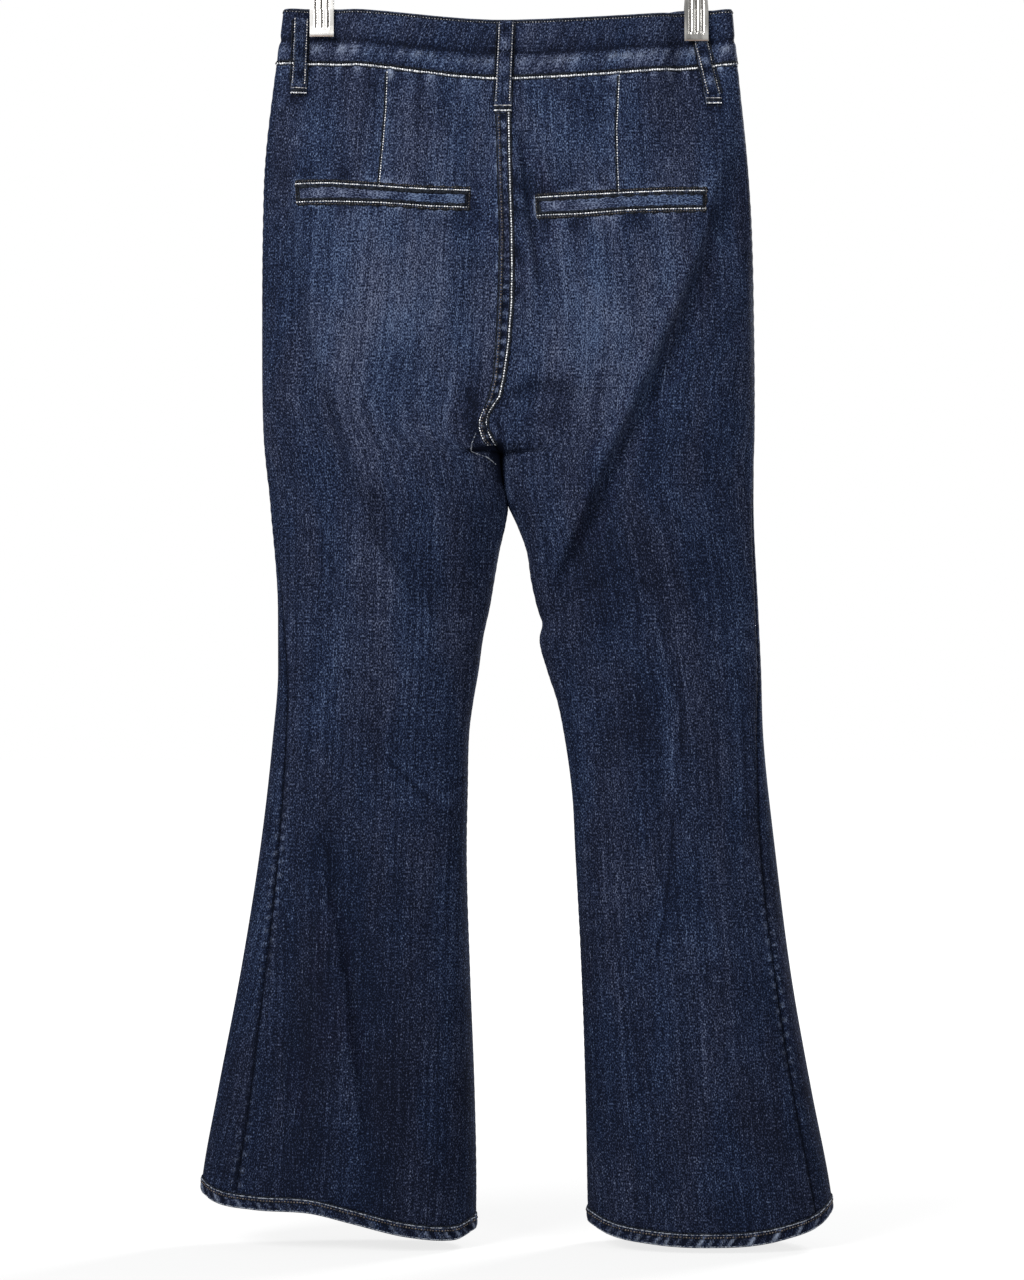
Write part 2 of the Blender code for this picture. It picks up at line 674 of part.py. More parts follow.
def fly():
    """The folded fly edge: it laps the centre front and ends in a curve."""
    down = np.linspace(0, 1, FLY_ROWS)[:, None]
    across = np.linspace(0, 1, FLY_ACROSS)[None]
    bend = np.clip((down - FLY_BENDS_AT) / (1 - FLY_BENDS_AT), 0, 1)
    reach = FLY_WIDTH * np.sqrt(1 - (FLY_CLOSES * bend) ** 2)
    x = FLY_LAP - (reach + FLY_LAP) * (1 - across)
    drop = FRONT_SEAM_DROP + FLY_TOP + FLY_LENGTH * down
    drop = drop - FLY_RISE * np.clip(-x / FLY_WIDTH, 0, 1) * (1 - down)
    laid("fly", FRONT, x, drop)


def button():
    """Shank button: a domed cap on the band's outer face."""
    radius = BUTTON_ACROSS / 2
    x = BUTTON_X + radius * np.array([-1.0, 0.0, 1.0])
    z = -WAIST_BELOW_HOOK - BUTTON_DROP + radius * np.array([[-1.0], [0.0], [1.0]])
    high = height_over(carrier(CARRIERS), FRONT, x[None], z)
    lean_x = (high[1, 2] - high[1, 0]) / (2 * radius)
    lean_z = (high[2, 1] - high[0, 1]) / (2 * radius)
    out = Vector((-lean_x, 1, -lean_z)).normalized()
    bm = bmesh.new()
    for (floor, low_share), (roof, high_share) in zip(BUTTON_LEVELS[:-1], BUTTON_LEVELS[1:]):
        turned = Matrix.Translation((0, 0, (floor + roof) / 2))
        bmesh.ops.create_cone(
            bm,
            segments=BUTTON_FACETS,
            radius1=radius * low_share,
            radius2=radius * high_share,
            depth=roof - floor,
            matrix=turned,
        )
    bmesh.ops.remove_doubles(bm, verts=bm.verts, dist=1e-4)
    bmesh.ops.holes_fill(bm, edges=bm.edges, sides=BUTTON_FACETS)
    turn = out.to_track_quat("Z", "Y").to_matrix().to_4x4()
    base = Vector((x[1], high[1, 1], z[1, 0])) + out * (GAP + BUTTON_OFF)
    place = Matrix.Scale(MM, 4) @ Matrix.Translation(base) @ turn
    bmesh.ops.transform(bm, matrix=place, verts=bm.verts)
    object_of(bm, "button", button_metal(), 30)


# ---------------------------------------------------------------- the hanger
HOOK_FROM, HOOK_TO = -62.0, 205.0  # degrees of the arc, from the stem's end round to the tip
HOOK_STEPS = 26
STEM_STEPS = 9
STEM_STARTS = 3.0  # above the bar's top, inside the neck
STEM_BOW = 24.0  # the stem's curve is led from this far below the arc's start
STEM_LEAN = 0.1  # and from this share of the arc's offset
WIRE_FACETS = 12
SLEEVE_LENGTH = 15.0
SLEEVE_WALL = 2.4
SLEEVE_FACETS = 24
NECK_LENGTH = 8.0
NECK_RADIUS = 3.4
NECK_MIDDLE = 4.4  # above the bar's top
NECK_FACETS = 20
BAR_FACETS = 16
BAR_ROUNDING = 0.8
BORE_CUT = 40.0  # longer than anything that it passes through


def swept(name, path, radius, finish, segments=WIRE_FACETS):
    """A round wire along a smooth path, with flat ends."""
    path = np.array(path, float)
    bm = bmesh.new()
    tangent = np.gradient(path, axis=0)
    tangent /= np.linalg.norm(tangent, axis=1, keepdims=True)
    side = np.array([0.0, 1.0, 0.0])
    angles = np.linspace(0, 2 * np.pi, segments + 1)
    rings = []
    for centre, way in zip(path, tangent):
        other = np.cross(way, side)
        rings.append([centre + radius * (np.cos(a) * side + np.sin(a) * other) for a in angles])
    rings = np.array(rings)
    rows, columns = rings.shape[:2]
    sheet = bmesh.ops.create_grid(bm, x_segments=columns - 1, y_segments=rows - 1, size=1)
    for k, vert in enumerate(sheet["verts"]):
        vert.co = Vector(rings[k // columns, k % columns]) * MM
    bmesh.ops.remove_doubles(bm, verts=bm.verts, dist=1e-6)
    bmesh.ops.holes_fill(bm, edges=bm.edges, sides=segments)
    return object_of(bm, name, finish)


def rod(length, radius, centre, axis, segments=BAR_FACETS):
    bm = bmesh.new()
    turn = Vector(axis).to_track_quat("Z", "Y").to_matrix().to_4x4()
    place = Matrix.Scale(MM, 4) @ Matrix.Translation(centre) @ turn
    bmesh.ops.create_cone(
        bm,
        cap_ends=True,
        segments=segments,
        radius1=radius,
        radius2=radius,
        depth=length,
        matrix=place,
    )
    return bm


def bar():
    bm = rod(BAR_LENGTH, BAR_ACROSS / 2, (0, 0, -WAIST_BELOW_HOOK - BAR_DROP), (1, 0, 0))
    end = BAR_LENGTH / 2 * MM
    rims = [e for e in bm.edges if abs(abs(e.verts[0].co.x + e.verts[1].co.x) / 2 - end) < 1e-6]
    bmesh.ops.bevel(bm, geom=rims, offset=BAR_ROUNDING * MM, segments=2, affect="EDGES", profile=0.5)
    object_of(bm, "hanger_bar", steel())


def joined(target, other, operation):
    cut = target.modifiers.new("join", "BOOLEAN")
    cut.object = other
    cut.operation = operation
    cut.solver = "EXACT"
    graph = bpy.context.evaluated_depsgraph_get()
    mesh = bpy.data.meshes.new_from_object(target.evaluated_get(graph))
    target.modifiers.clear()
    old = target.data
    target.data = mesh
    bpy.data.meshes.remove(old)
    bpy.data.objects.remove(other, do_unlink=True)


def hook():
    """The wire hook and the sleeve that turns on the bar's middle."""
    bend = HOOK_INSIDE + HOOK_WIRE / 2
    top = np.array([0, 0, -HOOK_INSIDE])
    angles = np.radians(np.linspace(HOOK_FROM, HOOK_TO, HOOK_STEPS))
    arc = [top + bend * np.array([math.cos(a), 0, math.sin(a)]) for a in angles]
    bar_z = -WAIST_BELOW_HOOK - BAR_DROP
    bar_radius = BAR_ACROSS / 2
    first = arc[0]
    u = np.linspace(0, 1, STEM_STEPS)[:, None]
    start = np.array([0, 0, bar_z + bar_radius + STEM_STARTS])
    lean = np.array([first[0] * STEM_LEAN, 0, first[2] - STEM_BOW])
    stem = start * (1 - u) ** 2 + 2 * lean * u * (1 - u) + first * u * u
    wire = swept("hanger_hook", [*stem[:-1], *arc], HOOK_WIRE / 2, steel())
    middle = (0, 0, bar_z)
    along_bar = (1, 0, 0)
    sleeve_rod = rod(SLEEVE_LENGTH, bar_radius + SLEEVE_WALL, middle, along_bar, SLEEVE_FACETS)
    sleeve = object_of(sleeve_rod, "sleeve", steel())
    bore_rod = rod(BORE_CUT, bar_radius + GAP, middle, along_bar, SLEEVE_FACETS)
    bore = object_of(bore_rod, "bore", steel())
    neck_middle = (0, 0, bar_z + bar_radius + NECK_MIDDLE)
    neck = object_of(rod(NECK_LENGTH, NECK_RADIUS, neck_middle, (0, 0, 1), NECK_FACETS), "neck", steel())
    joined(sleeve, neck, "UNION")
    joined(sleeve, bore, "DIFFERENCE")
    joined(wire, sleeve, "UNION")
    wire.data.shade_smooth()
    wire.data.set_sharp_from_angle(angle=math.radians(40))


# A jaw's outline. Its lip: height above the lower edge, and how far it stands off the cloth. Its
# arm: height above the bar, and how far it stands off the spring.
JAW_LIP = ((0, 1.9), (3, 0.5), (6, 0), (10, 0))
JAW_ARM = ((-15, 0.9), (-5, 0), (0, 0), (5, 0), (12, 4.5), (21, 10))
COIL_ACROSS = 9.6
COIL_LENGTH = 13.0
COIL_FACETS = 20
RIB_AT = (-5.4, 0.0, 5.4)
RIB_DEPTH = 0.35
RIB_EDGES = (-1.5, -0.6, 0.6, 1.5)  # columns of points beside a rib's middle
RIB_LOW = 8.0  # ribs run from this far above the lip
RIB_HIGH = 10.0  # to this far above the bar
JAW_BORDER = 1.2
JAW_NARROWS = 30.0  # a jaw narrows from this far above the lip
JAW_TAPER = 120.0  # by its whole width over this length
JAW_NARROWEST = 0.8
PROBES_ACROSS, PROBES_UP = 25, 31
# What each jaw closes on.
GRIPPED = {
    (LEFT, BACK): ("waistband",),
    (RIGHT, BACK): ("waistband", "belt_loop_back_right"),
    (LEFT, FRONT): ("waistband",),
    (RIGHT, FRONT): ("waistband",),
}


def jaw(name, side, face):
    half = CLIP_WIDTH / 2
    ribs = [rib + edge for rib in RIB_AT for edge in RIB_EDGES]
    across = np.array([-half, -half + JAW_BORDER, *ribs, half - JAW_BORDER, half])
    low = -WAIST_BELOW_HOOK - CLIP_DROP[side]
    probe_x = CLIP_X[side] + np.linspace(-half, half, PROBES_ACROSS)[None]
    probe_z = low + np.linspace(0, CLIP_DROP[side], PROBES_UP)[:, None]
    cloth = height_over(carrier(GRIPPED[side, face]), face, probe_x, probe_z).max() + GAP
    bar_up = CLIP_DROP[side] - BAR_DROP
    up = np.array([row[0] for row in JAW_LIP] + [bar_up + row[0] for row in JAW_ARM], float)[:, None]
    off = [cloth + row[1] for row in JAW_LIP] + [COIL_ACROSS / 2 + GAP + row[1] for row in JAW_ARM]
    ribbed = np.array([min(abs(a - rib) for rib in RIB_AT) < 1 for a in across])[None]
    grooved = (up > RIB_LOW) & (up < bar_up + RIB_HIGH)
    narrowed = np.clip(1 - (up - JAW_NARROWS) / JAW_TAPER, JAW_NARROWEST, 1)
    x = CLIP_X[side] + across[None] * narrowed
    z = low + up + np.zeros_like(x)
    y = np.array(off)[:, None] + RIB_DEPTH * (1 - (ribbed & grooved))
    inner = np.stack([x, face * y, z], axis=-1)
    outer = inner + np.array([0, face * JAW_WALL, 0])
    wall(name, outer, inner, steel())


def clip(side):
    name = "clip_" + side_name(side)
    jaw(name + "_back", side, BACK)
    jaw(name + "_front", side, FRONT)
    middle = (CLIP_X[side], 0, -WAIST_BELOW_HOOK - BAR_DROP)
    along_bar = (1, 0, 0)
    coil_rod = rod(COIL_LENGTH, COIL_ACROSS / 2, middle, along_bar, COIL_FACETS)
    coil = object_of(coil_rod, name + "_spring", steel())
    bore_rod = rod(BORE_CUT, BAR_ACROSS / 2 + GAP, middle, along_bar, COIL_FACETS)
    bore = object_of(bore_rod, "bore", steel())
    joined(coil, bore, "DIFFERENCE")
    coil.data.shade_smooth()
    coil.data.set_sharp_from_angle(angle=math.radians(40))


for old in list(bpy.data.objects):
    bpy.data.objects.remove(old, do_unlink=True)
for one_side in (LEFT, RIGHT):
    panels(one_side)
    hems(one_side)
waistband()
for row in LOOPS:
    belt_loop(*row)
for one_side in (LEFT, RIGHT):
    clip(one_side)
for welt_name, welt_corners in WELTS.items():
    welt(welt_name, welt_corners)
fly()
button()
bar()
hook()
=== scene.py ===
"""Looks for the flared jeans on their clip hanger: denim, seams, stitches and creases.

The cloth has the form of the solids: point() gives a place on it from q (down the garment) and t
(across a face). Tables are in millimetres, and a drop is measured down from the waist edge at the
side. Finer creases, the fading with its painted light and shade, and the sewing are added here.
"""

import json
import math

import bmesh
import bpy
import numpy as np
from mathutils import Matrix, Vector
from mathutils.bvhtree import BVHTree

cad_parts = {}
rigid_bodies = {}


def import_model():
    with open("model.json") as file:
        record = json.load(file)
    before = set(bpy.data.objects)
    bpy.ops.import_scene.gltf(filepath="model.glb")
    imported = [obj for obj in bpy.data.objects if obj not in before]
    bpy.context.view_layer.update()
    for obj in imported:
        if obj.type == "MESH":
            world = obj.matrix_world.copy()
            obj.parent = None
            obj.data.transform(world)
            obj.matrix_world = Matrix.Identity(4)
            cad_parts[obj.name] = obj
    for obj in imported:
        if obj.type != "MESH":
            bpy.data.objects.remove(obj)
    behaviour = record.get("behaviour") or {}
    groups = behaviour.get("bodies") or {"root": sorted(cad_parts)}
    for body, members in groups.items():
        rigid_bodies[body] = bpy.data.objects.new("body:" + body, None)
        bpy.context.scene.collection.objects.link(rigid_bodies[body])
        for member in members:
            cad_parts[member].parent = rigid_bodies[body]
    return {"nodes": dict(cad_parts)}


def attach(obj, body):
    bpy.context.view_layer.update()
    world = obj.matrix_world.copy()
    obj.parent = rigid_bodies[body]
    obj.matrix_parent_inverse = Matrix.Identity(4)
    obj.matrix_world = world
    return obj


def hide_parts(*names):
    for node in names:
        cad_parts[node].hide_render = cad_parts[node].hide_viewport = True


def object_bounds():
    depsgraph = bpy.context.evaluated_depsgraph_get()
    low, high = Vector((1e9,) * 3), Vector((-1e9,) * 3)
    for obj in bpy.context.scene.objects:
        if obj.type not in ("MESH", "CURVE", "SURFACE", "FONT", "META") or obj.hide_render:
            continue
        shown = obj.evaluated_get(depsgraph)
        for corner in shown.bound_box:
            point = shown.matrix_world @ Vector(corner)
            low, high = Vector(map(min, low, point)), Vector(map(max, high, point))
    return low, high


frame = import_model()
cad_box = [list(corner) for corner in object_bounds()]

MM = 0.001
LEFT, RIGHT = -1, 1
BACK, FRONT = -1, 1


def table(columns, *rows):
    """A table's columns, by name."""
    return dict(zip(columns.split(), np.array(rows, float).T))


# ---------------------------------------------------------------- driving dimensions, millimetres
WAIST_BELOW_HOOK = 107.0  # crown of the hook to the waist edge at the sides
SEAM_AT_SIDE = 48.0  # height of the waistband where it turns the side
BACK_WAIST_SAG = 11.0  # how far the waist edge hangs between the clips
BACK_SEAM_DROP = 62.5
FRONT_WAIST_SAG = 30.0
FRONT_SEAM_DROP = 80.0
CROTCH_AT_SIDE = 388.0
CROTCH_DROP = 391.0
FRONT_SEAM_BENDS = 340.0  # drop at which the centre front seam leaves the middle
HELD_TO = 0.17  # share of a face beside the outer edge in which the waist doesn't sag
PULLED_STRAIGHT = 1.4  # but the right back is pulled straighter towards its clip
LEVEL_FROM = 0.3  # q from which rows cross a face evenly, down to the crotch
HEM_FROM = 1.3  # q from which rows take on the hem's line
ROLL_POWER = 2.2  # 2 rolls an edge of the tube as an ellipse

PANEL_WALL = 1.2
BAND_WALL = 2.2
BAND_PROUD = 0.6  # the band stands out from the panels by this much
HEM_WALL = 2.4
HEM_PROUD = 0.7
HEM_SHARE = 12.0 / 665  # of the leg's length

CLIP_X = {LEFT: -164.5, RIGHT: 164.5}
CLIP_DROP = {LEFT: 25.0, RIGHT: 29.0}  # lower lip of each clip
CLIP_WIDTH = 21.0
PINCHED = 3.5  # middle plane to the cloth's outer face between the jaws
PINCH_MARGIN = 2.0  # flat cloth on each side of a clip
PINCH_REACH = 13.0  # and how far beyond that the pinch dies out
PINCH_DROP = 34.0  # the pinch is full down to here
PINCH_FADE = 90.0  # and has gone this much lower

FOLD_FADE = 0.15  # share of a fold's length over which each end fades out
CREASE_FADE = 0.3

# ---------------------------------------------------------------- the form, by level
# Outer edge of each side, and how far its side seam has turned on to the back.
OUTER = table(
    "drop left right left_turn right_turn",
    (0, 198, 196, 0, 0),
    (35, 202, 199, 0, 0),
    (60, 206, 202, 0, 0),
    (160, 215.5, 211.5, 0, 0),
    (290, 216.5, 215, -4, -4),
    (370, 215.5, 215.5, -4, 0),
    (430, 210.5, 215, 3, 6),
    (530, 203.5, 219.5, 13, 9),
    (580, 203.5, 222, 18, 10),
    (640, 208, 224, 23, 15),
    (740, 219.5, 234.5, 30, 26),
    (850, 237, 248.5, 38, 30),
    (950, 256, 266, 47, 34),
    (1030, 270, 281.5, 51, 35),
    (1080, 273, 288, 52, 35),
)
# Inner edge of each leg, measured towards its own side.
INNER = table(
    "drop left right",
    (391, 7, -9),
    (415, 4.4, -6),
    (436, 0.4, -1.4),
    (452, 2.5, 6),
    (476, 8, 15),
    (502, 12.5, 19),
    (528, 17, 25),
    (541, 20, 29),
    (553, 22.5, 26.5),
    (582, 26.5, 33.5),
    (608, 31, 42),
    (634, 34.5, 47.5),
    (687, 36, 55),
    (740, 37, 58),
    (846, 34, 63.5),
    (951, 30, 67),
    (1030, 28.5, 68.5),
    (1080, 29, 69.5),
)
# Centre back seam, which wanders as the cloth hangs.
SEAT_SEAM = table(
    "drop x",
    (0, -4),
    (108, -5),
    (160, -3.3),
    (212, -2),
    (256, -2.6),
    (291, -4.7),
    (321, -8),
    (347, -13.5),
    (362, -19),
    (374, -19),
    (385, -13),
    (391, -8),
)
# Half depth of the tube behind and in front of its middle plane, how far that plane has swung
# forward, and how much of a face's width its rounded edges take.
DEPTH = table(
    "drop back front swing outer_roll inner_roll",
    (0, 12, 10, 0, 0.16, 0.25),
    (30, 14, 12, 0, 0.18, 0.25),
    (62, 17, 14, 0, 0.24, 0.25),
    (110, 23, 18, -1, 0.36, 0.25),
    (200, 33, 25, -3, 0.48, 0.25),
    (300, 37, 29, -4, 0.52, 0.25),
    (391, 37, 31, -3, 0.52, 0.32),
    (480, 34, 31, 0, 0.52, 0.42),
    (600, 32, 31, 4, 0.52, 0.46),
    (750, 36, 34, 4, 0.52, 0.48),
    (900, 42, 39, 1, 0.52, 0.48),
    (1080, 48, 44, -3, 0.5, 0.48),
)
# The centre seams run down, then under, to the crotch: drop, and share of the full depth.
SEAM_UNDER = ((355, 1), (372, 0.96), (383, 0.8), (389, 0.48), (CROTCH_DROP, 0))
BACK_RISE = ((BACK_SEAM_DROP, 1), *SEAM_UNDER)
FRONT_RISE = ((FRONT_SEAM_DROP, 1), *SEAM_UNDER)
# Hem edges across each face, from the outer edge to the inseam.
HEM = table(
    "across left_back right_back left_front right_front",
    (0, 1037, 1053, 1037, 1053),
    (0.05, 1044, 1063, 1041, 1057),
    (0.2, 1049, 1074, 1047, 1066),
    (0.4, 1051, 1080, 1053, 1071),
    (0.55, 1059.5, 1080.5, 1058, 1072),
    (0.75, 1072, 1078, 1066, 1070),
    (0.92, 1077, 1072, 1071, 1067),
    (1, 1070, 1064, 1070, 1064),
)

# Folds: rise and its width, fall and its width, how quickly the one turns into the other, and then
# the line, as (x, drop) places. Seen from outside the back, with the line running away from its
# first place, the cloth falls on its left and rises on its right.
FOLDS = {
    BACK: (
        (4, 34, 9, 34, 7, (199, 89), (194, 150), (176, 205), (150, 268), (116, 344), (84, 410),
         (50, 485), (30, 541)),
        (3, 36, 7, 30, 7, (-120, 468), (-134, 420), (-158, 345), (-177, 275), (-186, 220),
         (-191, 160), (-197, 100)),
        (4, 26, 6, 24, 7, (-134, 424), (-112, 474), (-80, 520), (-42, 548), (-20, 556)),
        (2, 12, 3, 12, 7, (5, 105), (12, 165), (20, 220), (29, 262)),
        (3, 16, 4, 14, 7, (66, 345), (44, 335), (18, 335), (0, 345)),
        (2, 18, 3, 12, 7, (-140, 625), (-105, 655), (-70, 690), (-40, 700)),
        (2.5, 26, 5, 30, 7, (-168, 690), (-150, 790), (-138, 870), (-130, 960)),
        (3, 24, 3, 20, 7, (130, 930), (137, 810), (146, 740), (143, 640), (132, 580)),
        (1.6, 16, 3.4, 13, 2.2, (190, 120), (172, 205), (147, 268), (113, 344), (81, 410),
         (48, 485), (28, 535)),
        (1, 18, 2.2, 15, 5, (-118, 470), (-134, 420), (-158, 345), (-177, 275), (-186, 215),
         (-191, 150)),
        (1.1, 18, 2.2, 16, 5, (-130, 424), (-110, 474), (-78, 520), (-46, 546)),
        (1.2, 16, 2.8, 16, 2.4, (-168, 740), (-153, 790), (-141, 857), (-129, 960), (-126, 1010)),
        (0.6, 10, 1.5, 8, 2.4, (128, 534), (139, 580), (146, 615), (147, 655), (142, 710),
         (138, 760)),
        (0.7, 8, 1.7, 6, 1.8, (142, 745), (136, 793), (127, 830)),
        (0.8, 9, 2, 7, 2, (-106, 656), (-88, 676), (-70, 696), (-50, 706)),
        (1, 9, 1.9, 9, 2.2, (8, 100), (14, 160), (21, 215), (27, 258)),
    ),
    FRONT: (
        (2, 34, 4.5, 32, 7, (198, 95), (188, 180), (164, 270), (128, 350), (84, 430)),
        (2, 32, 4, 30, 7, (-70, 385), (-116, 330), (-158, 250), (-184, 170), (-196, 100)),
        (2, 20, 3.5, 16, 7, (-60, 560), (-100, 600), (-150, 620)),
        (3, 26, 4, 24, 7, (130, 620), (140, 740), (134, 860), (150, 980)),
        (3, 24, 4, 22, 7, (-120, 960), (-112, 850), (-124, 740)),
        (1.2, 16, 2.4, 14, 2.6, (190, 110), (176, 200), (150, 285), (112, 360), (76, 430)),
        (1.2, 16, 2.4, 14, 2.6, (-70, 400), (-112, 335), (-152, 262), (-180, 180), (-192, 110)),
        (0.9, 10, 2, 9, 2.2, (-60, 560), (-100, 600), (-150, 622)),
        (1, 12, 2, 11, 2.4, (126, 600), (138, 700), (134, 820), (146, 940)),
        (1, 12, 2, 11, 2.4, (-124, 960), (-114, 850), (-124, 740)),
    ),
}
# Broad swellings of the seat, the thighs and the lap: x, drop, half width, half height, height.
SWELLS = {
    BACK: (
        (-98, 225, 62, 105, 6),
        (96, 235, 62, 110, 7),
        (-70, 430, 50, 70, 4),
        (110, 440, 46, 80, 4),
    ),
    FRONT: (
        (-90, 200, 60, 90, 4),
        (92, 205, 60, 90, 4),
    ),
}
# Soft grooves (height below zero) and ridges: height, half width, line.
CREASES = {
    BACK: (
        (-2.2, 6, (-130, 630), (-112, 650), (-96, 668)),
        (-1.8, 5, (-98, 682), (-80, 691), (-60, 700)),
        (-2, 6, (-58, 690), (-37, 671)),
        (1.2, 8, (-104, 640), (-84, 660), (-66, 676)),
        (-3, 7, (27, 541), (60, 519), (97, 495)),
        (1.5, 9, (24, 560), (58, 540), (90, 520)),
        (-1.6, 6, (123, 517), (132, 553), (141, 590), (147, 611), (147, 640)),
        (-1.8, 7, (143, 616), (137, 692), (134, 759), (123, 804), (121, 834)),
        (-0.9, 4, (158, 819), (160, 880), (161, 941)),
        (-1.8, 5, (-2, 343), (19, 335), (40, 332), (54, 348)),
        (-3.6, 4, (-40, 390.5), (-30, 390.5), (-18, 389.5), (-9, 391), (-6, 400), (-5, 420)),
        (-1.3, 2.6, (-15, 358), (-9.4, 366.4), (-6.4, 374.5), (-6.4, 384)),
        (0.9, 8, (-72, 118), (-60, 140), (-52, 152)),
        (-1.6, 6, (12, 100), (16, 150), (24, 205), (30, 258)),
        (-0.9, 7, (-30, 118), (-28, 200), (-30, 280), (-34, 330)),
        (-0.8, 8, (60, 90), (56, 130), (48, 158)),
        (-0.7, 8, (-150, 90), (-146, 120), (-150, 148)),
        (-1.2, 9, (-190, 195), (-180, 260), (-172, 330)),
        (-1.3, 14, (-166, 520), (-158, 600), (-166, 690)),
        (-1.3, 12, (-60, 730), (-66, 800), (-62, 880)),
        (-1.2, 12, (-180, 860), (-186, 930), (-196, 1010)),
        (-1.4, 14, (-90, 900), (-88, 980), (-80, 1050)),
        (-1.2, 12, (195, 560), (190, 650), (196, 740)),
        (-1.3, 13, (96, 760), (100, 850), (96, 940)),
        (-1.5, 14, (200, 850), (212, 940), (226, 1030)),
        (-1.3, 12, (120, 960), (122, 1020), (118, 1070)),
    ),
    FRONT: (
        (-2.4, 7, (-20, 250), (-70, 268), (-120, 262)),
        (-2.2, 7, (24, 262), (66, 284), (110, 286)),
        (-2.8, 7, (-14, 330), (-56, 318), (-96, 296)),
        (-2.8, 7, (10, 345), (52, 332), (100, 318)),
        (-2.4, 8, (-40, 580), (-100, 600), (-160, 590)),
        (-2.4, 8, (70, 590), (120, 612), (180, 604)),
        (-1.8, 16, (-130, 700), (-138, 820), (-150, 940)),
        (-1.8, 15, (110, 680), (118, 800), (126, 930)),
    ),
}

# ---------------------------------------------------------------- fading, with painted light and shade
WASH = table(
    "drop level",
    (0, 0.5),
    (60, 0.54),
    (150, 0.56),
    (260, 0.56),
    (350, 0.54),
    (450, 0.51),
    (600, 0.48),
    (830, 0.43),
    (1000, 0.37),
    (1080, 0.35),
)
# Where one side of a fold is darker than the other, partly fading and partly painted shade, and the
# last back row a painted shadow under the tuck at the crotch: change on its right and its width,
# loss on its left and its width, how quickly the one turns into the other, line.
FOLD_FADING_AND_SHADE = {
    BACK: (
        (0.06, 40, 0.1, 90, 2.4, (190, 90), (190, 120), (172, 205), (147, 268), (113, 344),
         (81, 410), (48, 485), (26, 545)),
        (0.04, 40, 0.1, 60, 8, (-112, 490), (-134, 420), (-158, 345), (-177, 275), (-188, 215),
         (-194, 120), (-196, 80)),
        (0.07, 32, 0.08, 26, 6, (-132, 420), (-110, 474), (-78, 520), (-40, 552)),
        (0.05, 30, 0.1, 22, 2.6, (-172, 700), (-153, 790), (-141, 857), (-129, 960), (-124, 1030)),
        (0.03, 14, 0.06, 9, 2, (126, 520), (139, 580), (146, 615), (147, 655), (142, 710),
         (138, 760)),
        (0.1, 10, 0.12, 8, 1.6, (142, 735), (136, 793), (125, 840)),
        (0.04, 12, 0.13, 12, 2, (5, 96), (14, 160), (21, 215), (30, 270)),
        (-1.2, 5, 0, 3, 0.7, (-6.2, 379), (-5.8, 386), (-5.2, 394), (-4.6, 404), (-4.2, 412),
         (-3.6, 420)),
    ),
    FRONT: (
        (0.06, 36, 0.14, 70, 2.6, (190, 110), (176, 200), (150, 285), (112, 360), (76, 430)),
        (0.06, 36, 0.12, 60, 2.6, (-70, 400), (-112, 335), (-152, 262), (-180, 180), (-192, 110)),
    ),
}
# Dark and light lines along creases: the dark ones painted shade in the creases and painted shadow
# under the tuck at the crotch, the light ones partly rubbed and partly painted highlight: change,
# half width, line.
CREASE_FADING_AND_SHADE = {
    BACK: (
        (-1.1, 1.5, (-42, 391.5), (-31, 389), (-20, 387.4), (-8, 385), (-2, 384)),
        (-0.3, 2, (-16, 357), (-14.5, 361.4), (-9.4, 366.4), (-6.4, 374.5), (-6.4, 386)),
        (0.16, 2.4, (-13, 360), (-13, 368), (-10.5, 376), (-10, 384)),
        (0.12, 3.2, (-2, 376), (-0.5, 392), (2, 416)),
        (-0.26, 6, (-36, 330), (-31, 350), (-29, 372), (-30, 392)),
        (-0.2, 2.4, (-118, 646), (-105.6, 656.5), (-91.5, 673), (-61.6, 703), (-48, 708)),
        (0.08, 3, (-118, 640), (-103, 651), (-88, 668), (-60, 697)),
        (-0.18, 2.2, (-60, 691), (-53.7, 686), (-39.6, 676), (-35, 672)),
        (-0.3, 1.4, (147, 566), (148.6, 585), (149.4, 600), (149.8, 630), (149.6, 660), (147, 680)),
        (-0.26, 1.4, (146, 690), (142.7, 706), (141.4, 738), (138, 770), (133, 800)),
        (0.26, 1.5, (128, 536), (129.5, 545), (133.9, 565), (137, 582), (139.8, 600)),
        (0.24, 1.5, (143.5, 613), (142.7, 633), (142, 655), (141.8, 675), (141, 692)),
        (0.34, 1.3, (147.5, 604), (147.7, 618), (147.6, 630)),
        (0.22, 2, (-4.6, 384), (-4.2, 396), (-3.4, 408), (-0.5, 424), (2, 436)),
        (0.13, 3, (114, 470), (121, 500), (124, 530), (126, 560)),
        (0.14, 1.8, (168, 828), (168, 900), (169, 990)),
        (-0.16, 2, (139, 740), (136, 793), (127, 830), (122, 850)),
        (0.05, 8, (-60, 410), (-62, 470), (-60, 540)),
        (0.06, 7, (-142, 700), (-141, 760), (-138, 830)),
    ),
    FRONT: (
        (-0.14, 3, (-60, 560), (-100, 600), (-150, 622)),
        (0.08, 4, (126, 600), (138, 700), (134, 820), (146, 940)),
    ),
}
